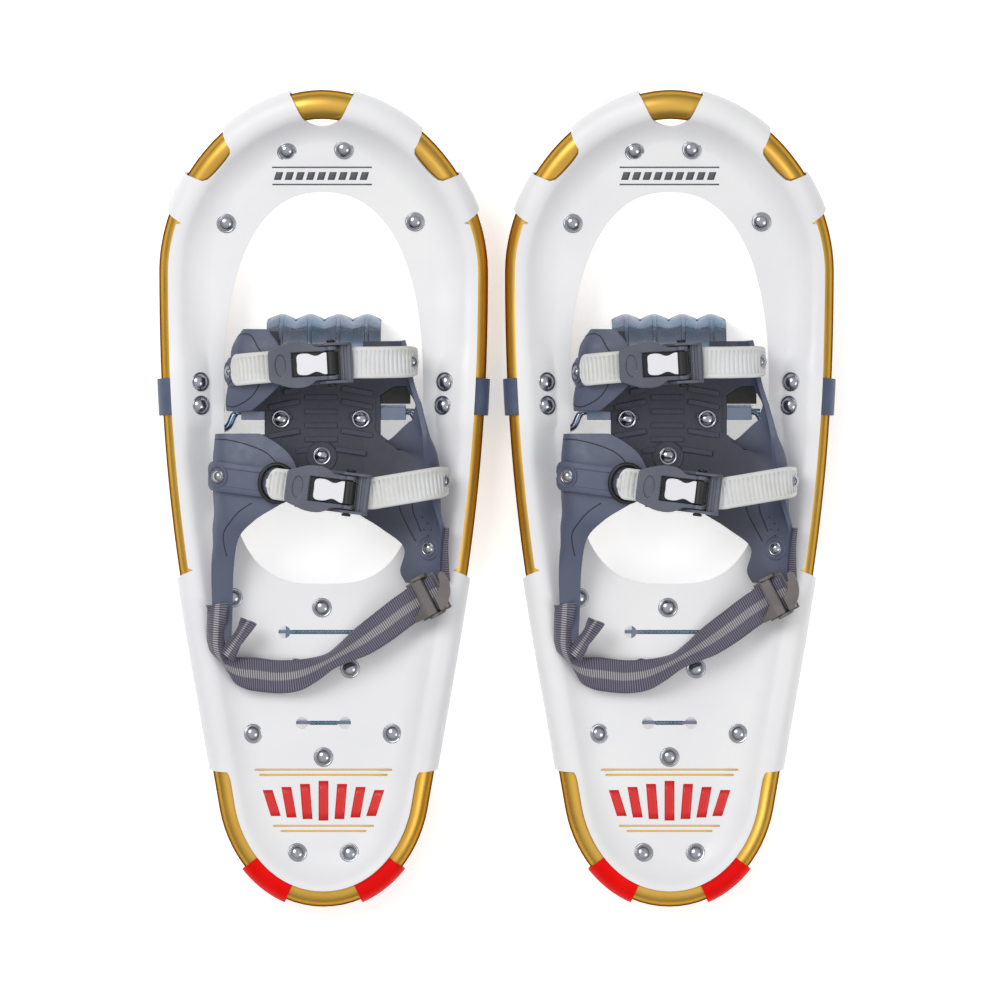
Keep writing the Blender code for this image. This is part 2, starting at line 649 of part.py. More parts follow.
def pivot_band(side):
    """A closed belt round the tube and the outer leg of the axle's eye, with its two rivets."""
    radius = TUBE_RADIUS + 0.8 * MM + BAND_THICKNESS / 2
    level = DECK_ABOVE_TUBE - DECK_THICKNESS / 2 - GAP - BAND_THICKNESS / 2
    leg = plan_at(s_where(1, BAND_Y)).x - AXLE_LEG_X
    sag = DECK_ABOVE_TUBE - AXLE_BELOW_DECK
    fold = AXLE_RADIUS + 1 * MM + BAND_THICKNESS / 2
    profile = []
    profile += over_tube(radius, level, DECK_LEAN)
    for degrees in (90, 45, 0, -45, -90):
        angle = math.radians(degrees)
        profile.append((leg + fold * math.cos(angle), sag + fold * math.sin(angle)))
    for degrees in range(260, 100, -32):
        angle = math.radians(degrees)
        profile.append((radius * math.cos(angle), radius * math.sin(angle)))
    middle = s_where(1, BAND_Y)
    if side < 0:
        middle = ROUND - middle
    rows = [wrap_row(middle + BAND_WIDTH * share, profile) for share in (-0.5, 0.5)]
    mesh = sheet(rows, BAND_THICKNESS, wrap=True)
    top = DECK_Z + DECK_THICKNESS / 2 + GAP
    rivets = [rivet(place, top, TUBE_Z - 12.5 * MM) for place in band_rivets(side)]
    return boolean(mesh, rivets, "UNION")


def tail_tab(side):
    """A flat tab wrapped round the tail tube, both ends under the deck on one rivet."""
    radius = TUBE_RADIUS + 1 * MM + TAB_THICKNESS / 2
    level = DECK_ABOVE_TUBE - DECK_THICKNESS / 2 - GAP - TAB_THICKNESS / 2
    profile = [(30 * MM, level)] + over_tube(radius, level, TAB_LEAN)[::-1]
    for degrees in range(122, 260, 32):
        angle = math.radians(degrees)
        profile.append((radius * math.cos(angle), radius * math.sin(angle)))
    profile += [(0, -radius), (6 * MM, -radius * 0.9), (12 * MM, -5 * MM), (18 * MM, level - 2.6 * MM)]
    profile.append((30 * MM, level - TAB_THICKNESS - GAP))
    middle = s_where(1, TAIL_START_Y - 20 * MM)
    while plan_at(middle).x > TAB_X:
        middle += 0.5 * MM
    if side < 0:
        middle = ROUND - middle
    rows = [wrap_row(middle + TAB_WIDTH * share, profile) for share in (-0.5, -0.17, 0.17, 0.5)]
    mesh = sheet(rows, TAB_THICKNESS)
    top = DECK_Z + DECK_THICKNESS / 2 + GAP
    stud = rivet((side * TAB_RIVET[0], TAB_RIVET[1]), top, TUBE_Z - 5 * MM)
    return boolean(mesh, [stud], "UNION")


AXLE_Z = DECK_Z - AXLE_BELOW_DECK


def pipe(points, radius, sides):
    """A round wire along points that lie at one height."""
    bm = bmesh.new()
    rows = []
    for i, point in enumerate(points):
        along = points[min(i + 1, len(points) - 1)] - points[max(i - 1, 0)]
        out = Vector((along.y, -along.x, 0)).normalized()
        turns = [2 * math.pi * k / sides for k in range(sides)]
        rows.append([point + radius * (out * math.cos(t) + Vector((0, 0, math.sin(t)))) for t in turns])
    made = add_grid(bm, rows, wrap=True)
    bm.faces.new(made[0])
    bm.faces.new(made[-1])
    return shape(bm)


def pivot_axle():
    """A straight steel wire whose ends bend back under the deck into the folds of the bands."""
    half = [Vector((x * MM, y * MM, AXLE_Z)) for x, y in AXLE_BEND]
    half.append(Vector((AXLE_LEG_X, BAND_Y - BAND_WIDTH / 2, AXLE_Z)))
    half.append(Vector((AXLE_LEG_X, BAND_Y + BAND_WIDTH * 0.4, AXLE_Z)))
    return pipe([Vector((-p.x, p.y, p.z)) for p in reversed(half)] + half, AXLE_RADIUS, BORE_SIDES)


PLATE_BOTTOM = AXLE_Z + KNUCKLE_RADIUS - 0.6 * MM
PLATE_MIDDLE = PLATE_BOTTOM + STEEL / 2
PLATE_TOP = PLATE_BOTTOM + STEEL
BED_BOTTOM = PLATE_TOP + GAP
BED_TOP = BED_BOTTOM + BED_THICKNESS


def toe_crampon():
    """A bent steel plate with toothed front and rear claws, knuckles on the axle, and the bed rivets."""
    lift = STEEL / 2 * (FRONT_TIP_Y - PLATE_FRONT_Y) / math.hypot(FRONT_TIP_Y - PLATE_FRONT_Y, PLATE_MIDDLE)
    rows = []
    for k in range(2 * TEETH + 1):
        x = CLAW_HALF_WIDTH * (k / TEETH - 1)
        up = lift if k % 2 else lift + TOOTH_DEPTH
        share = up / PLATE_MIDDLE
        rear = Vector((x, REAR_TIP_Y + (PLATE_REAR_Y - REAR_TIP_Y) * share, up))
        front = Vector((x, FRONT_TIP_Y + (PLATE_FRONT_Y - FRONT_TIP_Y) * share, up))
        bends = [Vector((x, PLATE_REAR_Y, PLATE_MIDDLE)), Vector((x, PLATE_FRONT_Y, PLATE_MIDDLE))]
        rows.append([rear, *bends, front])
    mesh = sheet(rows, STEEL)
    joined = []
    for side in (-1, 1):
        knuckle = ring(AXLE_RADIUS + BORE_CLEARANCE, KNUCKLE_RADIUS, KNUCKLE_START, KNUCKLE_END, BORE_SIDES)
        knuckle = moved(knuckle, Matrix.Rotation(math.radians(15), 4, "Z"))
        if side < 0:
            knuckle = moved(knuckle, Matrix.Rotation(math.pi, 4, "X"))
        joined.append(along_x(knuckle, (0, PIVOT_Y, AXLE_Z)))
    for x, y in BED_RIVETS:
        joined.append(rivet((x, y), BED_TOP + GAP, PLATE_MIDDLE))
    return boolean(mesh, joined, "UNION")


def blade(y, half, teeth, ridge):
    """A toothed steel blade across the shoe, with a ridge that shows in the deck's slot."""
    top = DECK_Z - DECK_THICKNESS / 2 - GAP - STEEL / 2
    flat = 1.2 * MM
    points = [(-half, top), (-half, TOOTH_DEPTH)]
    for k in range(teeth):
        middle = half * ((2 * k + 1) / teeth - 1)
        points += [(middle - flat, 0), (middle + flat, 0)]
        points.append((half * ((2 * k + 2) / teeth - 1), TOOTH_DEPTH))
    points += [(half, top), (ridge, top), (ridge, DECK_Z + 0.4 * MM), (-ridge, DECK_Z + 0.4 * MM), (-ridge, top)]
    mesh = prism(points, -STEEL / 2, STEEL / 2)
    return moved(mesh, Matrix.Translation((0, y, 0)) @ Matrix.Rotation(math.pi / 2, 4, "X"))


def heel_crampon():
    top = DECK_Z - DECK_THICKNESS / 2 - GAP
    plate = prism([(x * MM, y * MM) for x, y in from_blade(HEEL_PLATE)], top - STEEL, top)
    joined = [
        blade(FRONT_SLOT_Y, FRONT_BLADE_HALF, 4, FRONT_SLOT_LENGTH / 2 - 9 * MM),
        blade(REAR_SLOT_Y, REAR_BLADE_HALF, 3, REAR_SLOT_LENGTH / 2 - 9 * MM),
    ]
    for place in from_blade(HEEL_RIVETS):
        joined.append(rivet(place, DECK_Z + DECK_THICKNESS / 2 + GAP, top - STEEL / 2))
    return boolean(plate, joined, "UNION")


def lofted(sections, skip=()):
    rows = []
    for y, *points in sections:
        rows.append([Vector((x, y, z)) * MM for x, z in points])
    return sheet(rows, WALL, skip=skip)


def harness():
    """The moulded bed with its wings, heel arm and heel lug, in one piece."""
    bed = prism([(x * MM, y * MM) for x, y in BED_OUTLINE], BED_BOTTOM, BED_TOP)
    window = {(row, column) for row in WINDOW_ROWS for column in WINDOW_COLUMNS}
    walls = [lofted(TOE_WING), lofted(HEEL_WING), lofted(RIGHT_WALL, window)]
    x0, x1, y0, y1 = (value * MM for value in PAD)
    pad = box(x0, x1, y0, y1, BED_BOTTOM + 1 * MM, BED_TOP + PAD_HEIGHT)
    mesh = boolean(bed, [*walls, pad], "UNION")
    drills = [hole(place, BED_BOTTOM - 5 * MM, BED_TOP + 1 * MM) for place in BED_RIVETS]
    return boolean(mesh, drills, "DIFFERENCE")


def level_strap(points, width, thickness):
    path = scaled(points)
    return strap(path, [(0, 1, 0)] * len(path), width, thickness)


def stud_on(mesh, points, thickness, inset):
    """A rivet head on the outer face of a strap's first end."""
    path = scaled(points)
    along = (path[1] - path[0]).normalized()
    up = Vector((0, 1, 0)).cross(along)
    if up.x * path[0].x < 0:
        up = -up
    head = RIVET_HEAD_RADIUS
    high = STRAP_RIVET_HEIGHT
    profile = ((0, high), (head * 0.6, high * 0.85), (head, 0), (head, -0.5 * MM), (0, -0.5 * MM))
    place = path[0] + along * inset + up * thickness / 2
    turn = up.to_track_quat("Z", "Y").to_matrix().to_4x4()
    return boolean(mesh, [moved(turned(profile, RIVET_SIDES), Matrix.Translation(place) @ turn)], "UNION")


def mirrored(outline):
    return [Vector((x, y)) * MM for x, y in outline] + [
        Vector((x, -y)) * MM for x, y in reversed(outline) if y > 0
    ]


def buckle_base():
    x0, x1, z0, z1 = (value * MM for value in BASE_FLOOR)
    wide = BASE_HALF_WIDTH
    floor = box(x0, x1, -wide, wide, z0, z1)
    joined = []
    for side in (-1, 1):
        y0, y1 = sorted((side * (wide - CHEEK), side * wide))
        joined.append(box(CHEEK_START, x1 + CHEEK_PAST_FLOOR, y0, y1, z0, CHEEK_TOP))
    lip = [value * MM for value in LIP]
    joined.append(box(lip[0], lip[1] - 0.6 * MM, -wide + 0.5 * MM, wide - 0.5 * MM, lip[2], lip[3]))
    mesh = boolean(floor, joined, "UNION")
    drill = along_y(cylinder(PIN_RADIUS + BORE_CLEARANCE, -20 * MM, 20 * MM, BORE_SIDES), (0, 0, 0))
    return boolean(mesh, [drill], "DIFFERENCE")


def buckle_lever():
    low = -LEVER_THICKNESS / 2
    plate = prism(mirrored(LEVER_OUTLINE), low, -low)
    x, half = (value * MM for value in LEVER_WINDOW)
    mesh = boolean(plate, [box(x, 10 * MM, -half, half, -9 * MM, 9 * MM)], "DIFFERENCE")
    outer = BASE_HALF_WIDTH - CHEEK - 0.5 * MM
    hubs = []
    for start, end in ((half, outer), (-outer, -half)):
        hubs.append(along_y(cylinder(HUB_RADIUS, start, end, BORE_SIDES), (0, 0, 0)))
    mesh = boolean(mesh, hubs, "UNION")
    drill = along_y(cylinder(PIN_RADIUS + BORE_CLEARANCE, -20 * MM, 20 * MM, BORE_SIDES), (0, 0, 0))
    return boolean(mesh, [drill], "DIFFERENCE")


def release_tab():
    plate = prism(mirrored(TAB_OUTLINE), -0.5 * MM, 3 * MM)
    half = TAB_OUTLINE[-1][1] * MM
    hub = along_y(cylinder(HUB_RADIUS - 0.2 * MM, -half, half, BORE_SIDES), (0, 0, 0))
    mesh = boolean(plate, [hub], "UNION")
    drill = along_y(cylinder(PIN_RADIUS + BORE_CLEARANCE, -20 * MM, 20 * MM, BORE_SIDES), (0, 0, 0))
    return boolean(mesh, [drill], "DIFFERENCE")


def buckle_pin():
    return along_y(cylinder(PIN_RADIUS, -PIN_HALF_LENGTH, PIN_HALF_LENGTH, BORE_SIDES), (0, 0, 0))


def strap_keeper():
    bm = bmesh.new()
    rows = []
    for i in range(14):
        angle = 2 * math.pi * i / 14
        c = math.cos(angle)
        s = math.sin(angle)
        centre = Vector((KEEPER_HALF[0] * c, KEEPER_HALF[1] * s, KEEPER_HALF[0] * c * KEEPER_SLOPE)) * MM
        turns = [math.pi / 3 * k for k in range(6)]
        out = Vector((c, s, 0))
        rows.append([centre + KEEPER_WIRE * (out * math.cos(t) + Vector((0, 0, math.sin(t)))) for t in turns])
    made = add_grid(bm, rows, wrap=True)
    for k in range(6):
        after = (k + 1) % 6
        bm.faces.new((made[-1][k], made[-1][after], made[0][after], made[0][k]))
    return moved(shape(bm), Matrix.Translation(Vector(KEEPER_CENTRE) * MM))


def webbing_rows(rows):
    path = [Vector(row[:3]) * MM for row in rows]
    return strap_sections(path, [row[3:] for row in rows], WEBBING_WIDTH, WEBBING_THICKNESS)


def heel_webbing():
    """The heel strap: it lies on the arm, folds over at a corner and runs across to the cam buckle."""
    half = WEBBING_THICKNESS / 2
    x, y = (value * MM for value in WEBBING_FOLD)
    upper, lower = (value * MM for value in WEBBING_FOLD_Z)
    side = Vector((1, -1, 0)) * WEBBING_WIDTH / 2
    out = Vector((-1, -1, 0)).normalized()
    fold = [
        section(Vector((x, y, upper)), side, Vector((0, 0, -half))),
        section(Vector((x, y, (upper + lower) / 2)) + out * (upper - lower) / 2, side, -out * half),
        section(Vector((x, y, lower)), side, Vector((0, 0, half))),
    ]
    return solid_strap(webbing_rows(WEBBING_ON_ARM) + fold + webbing_rows(WEBBING_RUN))


def heel_tab():
    path = [Vector(row[:3]) * MM for row in HEEL_TAB]
    return strap(path, [row[3:] for row in HEEL_TAB], HEEL_TAB_WIDTH, WEBBING_THICKNESS)


def cam_buckle():
    x0, x1, z0, z1 = (value * MM for value in CAM_FLOOR)
    wide = CAM_HALF_WIDTH
    floor = box(x0, x1, -wide, wide, z0, z1)
    joined = []
    for side in (-1, 1):
        y0, y1 = sorted((side * (wide - CHEEK), side * wide))
        joined.append(box(x0 + 4 * MM, x1 - 5 * MM, y0, y1, z0, 3 * MM))
    mesh = boolean(floor, joined, "UNION")
    drill = along_y(cylinder(PIN_RADIUS + BORE_CLEARANCE, -20 * MM, 20 * MM, BORE_SIDES), (0, 0, 0))
    return boolean(mesh, [drill], "DIFFERENCE")


def cam_lever():
    """The curved lever, with the stub pins that turn in the buckle's cheeks."""
    half = CAM_HALF_WIDTH - CHEEK - 0.4 * MM
    mesh = prism([(x * MM, z * MM) for x, z in CAM_LEVER], -half, half)
    mesh = moved(mesh, Matrix.Rotation(math.pi / 2, 4, "X"))
    pin = along_y(cylinder(PIN_RADIUS, -CAM_HALF_WIDTH, CAM_HALF_WIDTH, BORE_SIDES), (0, 0, 0))
    return boolean(mesh, [pin], "UNION")


def placed(pin, degrees):
    return Matrix.Translation(Vector(pin) * MM) @ Matrix.Rotation(math.radians(degrees), 4, "Z")


def cam_frame():
    x = Vector(CAM_X).normalized()
    y = Vector(CAM_Y)
    y = (y - x * y.dot(x)).normalized()
    z = x.cross(y)
    turn = Matrix((x, y, z)).transposed().to_4x4()
    return Matrix.Translation(Vector(CAM_PIN) * MM) @ turn


def material(name, colour, metallic, roughness):
    made = bpy.data.materials.new(name)
    made.use_nodes = True
    shader = made.node_tree.nodes["Principled BSDF"]
    shader.inputs["Base Color"].default_value = (*colour, 1)
    shader.inputs["Metallic"].default_value = metallic
    shader.inputs["Roughness"].default_value = roughness
    return made


def add_piece(name, mesh, look, matrix, parent):
    obj = bpy.data.objects.new(name, mesh)
    if not mesh.materials:
        mesh.materials.append(look)
    bpy.context.scene.collection.objects.link(obj)
    obj.parent = parent
    obj.matrix_local = matrix
    return obj


def add_empty(name, place, parent=None):
    empty = bpy.data.objects.new(name, None)
    bpy.context.scene.collection.objects.link(empty)
    empty.parent = parent
    empty.location = place
    return empty


clear_scene()
bpy.context.scene.unit_settings.system = "METRIC"

gold = material("gold_tube", (0.56, 0.29, 0.03), 0.9, 0.3)
white = material("deck_sheet", (0.8, 0.8, 0.82), 0, 0.45)
red = material("red_tab", (0.75, 0.01, 0.01), 0, 0.4)
grey = material("grey_band", (0.15, 0.17, 0.21), 0, 0.5)
zinc = material("zinc_steel", (0.35, 0.4, 0.46), 0.9, 0.35)
slate = material("harness_plastic", (0.09, 0.1, 0.15), 0, 0.5)
pale = material("ladder_plastic", (0.67, 0.67, 0.62), 0, 0.4)
snow = material("release_plastic", (0.88, 0.88, 0.9), 0, 0.35)
black = material("keeper_rubber", (0.01, 0.01, 0.012), 0, 0.6)
woven = material("webbing", (0.07, 0.06, 0.08), 0, 0.8)
taupe = material("cam_plastic", (0.16, 0.14, 0.13), 0, 0.45)

ORIGIN = Matrix.Identity(4)
TOE = placed(TOE_PIN, TOE_BUCKLE_TURN)
INSTEP = placed(INSTEP_PIN, INSTEP_BUCKLE_TURN)
CAM = cam_frame()
pivot = Vector((0, PIVOT_Y, AXLE_Z))
base = buckle_base()
lever = buckle_lever()
tab = release_tab()
pin = buckle_pin()
toe_arm = level_strap(TOE_ARM, ARM_WIDTH, ARM_THICKNESS)
toe_ladder = level_strap(TOE_LADDER, LADDER_WIDTH, LADDER_THICKNESS)
instep_arm = level_strap(INSTEP_ARM, ARM_WIDTH, ARM_THICKNESS)
instep_ladder = level_strap(INSTEP_LADDER, LADDER_WIDTH, LADDER_THICKNESS)

frame_pieces = (
    ("frame_tube", frame_tube(), gold, ORIGIN),
    ("deck", deck(), white, ORIGIN),
    ("tail_tab_buckle_side", tail_tab(-1), red, ORIGIN),
    ("tail_tab_ladder_side", tail_tab(1), red, ORIGIN),
    ("pivot_band_buckle_side", pivot_band(-1), grey, ORIGIN),
    ("pivot_band_ladder_side", pivot_band(1), grey, ORIGIN),
    ("pivot_axle", pivot_axle(), zinc, ORIGIN),
    ("heel_crampon", heel_crampon(), zinc, ORIGIN),
)
binding_pieces = (
    ("toe_crampon", toe_crampon(), zinc, ORIGIN),
    ("harness", harness(), slate, ORIGIN),
    ("toe_strap_arm", stud_on(toe_arm, TOE_ARM, ARM_THICKNESS, 8 * MM), slate, ORIGIN),
    ("toe_ladder_strap", stud_on(toe_ladder, TOE_LADDER, LADDER_THICKNESS, 7 * MM), pale, ORIGIN),
    ("toe_buckle_base", base, slate, TOE),
    ("toe_buckle_lever", lever, slate, TOE),
    ("toe_release_tab", tab, snow, TOE),
    ("toe_buckle_pin", pin, zinc, TOE),
    ("instep_strap_arm", stud_on(instep_arm, INSTEP_ARM, ARM_THICKNESS, 9 * MM), slate, ORIGIN),
    ("instep_ladder_strap", stud_on(instep_ladder, INSTEP_LADDER, LADDER_THICKNESS, 7 * MM), pale, ORIGIN),
    ("instep_buckle_base", base, slate, INSTEP),
    ("instep_buckle_lever", lever, slate, INSTEP),
    ("instep_release_tab", tab, snow, INSTEP),
    ("instep_buckle_pin", pin, zinc, INSTEP),
    ("strap_keeper", strap_keeper(), black, ORIGIN),
    ("heel_webbing", heel_webbing(), woven, ORIGIN),
    ("heel_tab", heel_tab(), woven, ORIGIN),
    ("cam_buckle", cam_buckle(), taupe, CAM),
    ("cam_lever", cam_lever(), taupe, CAM),
)
for shoe, side in (("left", -1), ("right", 1)):
    whole = add_empty(shoe + "_shoe", (side * SHOE_SPACING / 2, 0, 0))
    binding = add_empty(shoe + "_binding", pivot, whole)
    for name, mesh, look, matrix in frame_pieces:
        add_piece(shoe + "_" + name, mesh, look, matrix, whole)
    for name, mesh, look, matrix in binding_pieces:
        add_piece(shoe + "_" + name, mesh, look, Matrix.Translation(-pivot) @ matrix, binding)
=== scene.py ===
# %% [markdown]
# # A pair of snowshoes
#
# This lesson dresses a finished mechanical model of two snowshoes for a studio picture. The model comes
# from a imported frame: its bodies, joints and solids are fixed. Here each solid gets the shape and finish
# that the eye expects: a coated tube, a riveted sheet deck, moulded harness parts, ridged straps and
# woven webbing. Both shoes are alike, so every piece is made once and set down twice.

# %% Load the frame
import math

import bmesh
import bpy
from mathutils import Matrix, Vector
from mathutils.bvhtree import BVHTree


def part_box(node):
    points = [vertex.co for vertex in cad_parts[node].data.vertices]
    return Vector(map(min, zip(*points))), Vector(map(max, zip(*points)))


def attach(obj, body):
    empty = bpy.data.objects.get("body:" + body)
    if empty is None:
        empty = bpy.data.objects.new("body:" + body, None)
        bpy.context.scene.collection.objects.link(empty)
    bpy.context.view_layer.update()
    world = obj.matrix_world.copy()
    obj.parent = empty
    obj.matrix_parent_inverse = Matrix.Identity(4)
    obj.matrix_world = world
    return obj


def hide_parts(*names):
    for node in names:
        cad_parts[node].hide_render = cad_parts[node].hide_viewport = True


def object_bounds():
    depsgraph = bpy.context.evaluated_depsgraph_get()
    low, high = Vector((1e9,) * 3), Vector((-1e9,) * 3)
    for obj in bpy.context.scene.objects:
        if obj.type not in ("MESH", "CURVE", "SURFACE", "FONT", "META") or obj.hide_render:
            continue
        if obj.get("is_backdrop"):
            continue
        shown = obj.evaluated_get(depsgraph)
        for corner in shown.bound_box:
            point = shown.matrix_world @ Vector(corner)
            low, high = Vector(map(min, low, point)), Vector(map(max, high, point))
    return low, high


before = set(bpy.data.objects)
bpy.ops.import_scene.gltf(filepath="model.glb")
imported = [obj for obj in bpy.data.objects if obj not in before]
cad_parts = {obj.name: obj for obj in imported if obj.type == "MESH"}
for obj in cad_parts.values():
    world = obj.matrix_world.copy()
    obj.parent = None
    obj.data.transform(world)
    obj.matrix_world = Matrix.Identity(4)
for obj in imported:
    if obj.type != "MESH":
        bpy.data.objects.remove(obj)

MM = 0.001
cad_low, cad_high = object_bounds()
SHOES = {}
for shoe in ("left", "right"):
    low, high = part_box(shoe + "_frame_tube")
    SHOES[shoe] = (low.x + high.x) / 2
print("shoe centres at x =", [round(x / MM, 1) for x in SHOES.values()], "mm")

# %% [markdown]
# ## How a piece is finished
#
# All shapes below are drawn in millimetres, about the middle of one shoe, with the toe at +Y and the
# ground at z = 0. One function turns such a drawing into two objects, one for each shoe. It moves the
# mesh, not the object, so that every object stays at the origin. Walls, rounded edges and smoothing are
# left to modifiers, which keeps the drawings simple.

# %% Finish a piece on both shoes
BEVEL_ANGLE = math.radians(32)


def add_modifier(obj, kind, **settings):
    """Adds a modifier of this kind and gives it its settings."""
    modifier = obj.modifiers.new(kind.title(), kind)
    for key, value in settings.items():
        setattr(modifier, key, value)


def finish_piece(name, bm, look, body, stands_for=(), wall=0, bevel=0, segments=2):
    """Makes left_name and right_name from a drawing in shoe millimetres.

    They ride on body and take the place of the solids in stands_for. wall and bevel are in millimetres.
    """
    bmesh.ops.recalc_face_normals(bm, faces=bm.faces)
    drawn = bpy.data.meshes.new(name)
    bm.to_mesh(drawn)
    bm.free()
    drawn.transform(Matrix.Scale(MM, 4))
    drawn.materials.append(look)
    drawn.shade_smooth()
    for shoe, centre in SHOES.items():
        mesh = drawn.copy()
        mesh.transform(Matrix.Translation((centre, 0, 0)))
        obj = bpy.data.objects.new(shoe + "_" + name, mesh)
        bpy.context.scene.collection.objects.link(obj)
        if wall:
            add_modifier(obj, "SOLIDIFY", thickness=wall * MM, offset=0)
        if bevel:
            add_modifier(
                obj, "BEVEL", width=bevel * MM, segments=segments, limit_method="ANGLE",
                angle_limit=BEVEL_ANGLE, harden_normals=True,
            )
        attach(obj, shoe + "_" + body)
        if stands_for:
            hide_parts(*[shoe + "_" + node for node in stands_for])
    bpy.data.meshes.remove(drawn)


print("every piece is set down on", " and ".join(SHOES))

# %% [markdown]
# ## Sheets, straps and bars
#
# Most pieces are sheets that were cut, bent or moulded. A grid operator makes the topology in one call,
# and its points are then set row by row. A grid whose first and last rows agree is welded into a ring.
# Flat blanks are one face, extruded. Turned pieces, such as rivets and pins, are spun.

# %% Drawing helpers
WELD = 1e-4


def lay_sheet(bm, rows, ring=False, hollow=()):
    """A sheet through rows of points. ring joins the last row to the first, hollow lists open quads."""
    rows = list(rows) + ([rows[0]] if ring else [])
    wide = len(rows[0])
    made = bmesh.ops.create_grid(bm, x_segments=wide - 1, y_segments=len(rows) - 1, size=1)["verts"]
    for vert, point in zip(made, (point for row in rows for point in row)):
        vert.co = point
    if hollow:
        corner = {vert: k for k, vert in enumerate(made)}
        holes = []
        for face in {face for vert in made for face in vert.link_faces}:
            first = min(corner[vert] for vert in face.verts)
            if (first // wide, first % wide) in hollow:
                holes.append(face)
        bmesh.ops.delete(bm, geom=holes, context="FACES")
    if ring:
        bmesh.ops.remove_doubles(bm, verts=[vert for vert in made if vert.is_valid], dist=WELD)
    return [vert for vert in made if vert.is_valid]


def lay_blank(bm, outline, thickness, matrix=Matrix.Identity(4)):
    """A flat blank with this (x, y) outline, from z = 0 up to thickness, then placed by the matrix."""
    face = bm.faces.new([bm.verts.new((x, y, 0)) for x, y in outline])
    made = bmesh.ops.extrude_face_region(bm, geom=[face])["geom"]
    top = [part for part in made if isinstance(part, bmesh.types.BMVert)]
    bmesh.ops.translate(bm, verts=top, vec=(0, 0, thickness))
    bmesh.ops.transform(bm, matrix=matrix, verts=list(face.verts) + top)


def spin_profile(bm, profile, matrix=Matrix.Identity(4), steps=20):
    """A turned piece about Z from (radius, height) points that start and end on the axis or meet."""
    before = set(bm.verts)
    verts = [bm.verts.new((radius, 0, height)) for radius, height in profile]
    edges = [bm.edges.new(pair) for pair in zip(verts, verts[1:])]
    if profile[0][0] > 0:
        edges.append(bm.edges.new((verts[-1], verts[0])))
    bmesh.ops.spin(
        bm, geom=verts + edges, cent=(0, 0, 0), axis=(0, 0, 1), angle=2 * math.pi, steps=steps,
        use_merge=True,
    )
    made = [vert for vert in bm.verts if vert not in before]
    bmesh.ops.transform(bm, matrix=matrix, verts=made)
    bmesh.ops.remove_doubles(bm, verts=made, dist=WELD)


print("sheets, blanks and turned pieces can be drawn")

# %% [markdown]
# Tubes and straps follow a path. A smooth curve is run through a few measured points and read at even
# steps. Its points carry a ring for a round bar, or a row across it for a strap.

# %% Curves
def spread(start, end, count):
    """Numbers from start to end in this many equal steps."""
    return [start + (end - start) * k / count for k in range(count + 1)]


def clamped(share):
    """The share, kept from 0 to 1."""
    return min(1, max(0, share))


def arc(centre, radius, degrees):
    """(x, y) points on a circle at these angles."""
    turns = [math.radians(degree) for degree in degrees]
    return [(centre[0] + radius * math.cos(a), centre[1] + radius * math.sin(a)) for a in turns]


def spline_at(points, t):
    """The place on a smooth curve through the points, where t counts points."""
    i = min(int(t), len(points) - 2)
    f = t - i
    a, b, c, d = (points[min(max(k, 0), len(points) - 1)] for k in (i - 1, i, i + 1, i + 2))
    return (b * 2 + (c - a) * f + (a * 2 - b * 5 + c * 4 - d) * f**2 + (b * 3 - a - c * 3 + d) * f**3) / 2


def smooth_path(points, step):
    """Points at about this spacing on a smooth curve through the given ones."""
    given = [Vector(point) for point in points]
    found = []
    for i, (here, there) in enumerate(zip(given, given[1:])):
        count = max(1, round((there - here).length / step))
        found += [spline_at(given, i + k / count) for k in range(count)]
    return found + given[-1:]


print("a quarter circle ends at", [round(v, 3) for v in arc((0, 0), 1, (0, 90))[-1]])

# %% [markdown]
# A round bar needs a ring of points at each step of its path. The ring's sideways direction is carried on
# from step to step, so that the bar doesn't twist. A strap keeps the direction across it that it is given.

# %% Bars and straps
def tube_along(bm, path, radius, sides=12, closed=False):
    """A round bar along a path of points, with closed ends unless the path is a ring."""
    ring = arc((0, 0), radius, spread(0, 360, sides))
    rows = []
    side = None
    for i, point in enumerate(path):
        before = path[i - 1] if i or closed else point
        after = path[(i + 1) % len(path)] if i + 1 < len(path) or closed else point
        along = (after - before).normalized()
        if side is None:
            side = along.orthogonal()
        side = (side - along * side.dot(along)).normalized()
        up = along.cross(side)
        rows.append([point + side * a + up * b for a, b in ring])
    verts = lay_sheet(bm, rows, ring=closed)
    bmesh.ops.remove_doubles(bm, verts=verts, dist=WELD)
    if not closed:
        rim = [edge for edge in bm.edges if edge.is_boundary]
        bmesh.ops.holes_fill(bm, edges=rim, sides=sides)


def strap_rows(path, across, shares, lift):
    """Rows of points across a strap. shares run over the width and lift(share, distance) raises a point."""
    rows = []
    gone = 0
    for i, point in enumerate(path):
        along = path[min(i + 1, len(path) - 1)] - path[max(i - 1, 0)]
        gone += (point - path[i - 1]).length if i else 0
        side = across[i] - along * across[i].dot(along) / along.length_squared
        width = across[i].length
        side.normalize()
        up = side.cross(along).normalized()
        rows.append([point + side * width * share + up * lift(share, gone) for share in shares])
    return rows


print("bars and straps can be drawn")

# %% [markdown]
# ## Floor, light and camera
#
# The shoes lie on a pale floor and the camera hangs straight above them with a long lens, so that the
# view is almost free of perspective. A soft light from the upper left gives the metal and the moulded
# parts their bright edges, and a weaker one from the lower right fills the shadows.

# %% Stage
FIELD = 655.3 * MM
LENS = 200
SENSOR = 36
CAMERA_X = 2.3 * MM
SHARP_Z = 30 * MM
FLOOR_HALF = 6

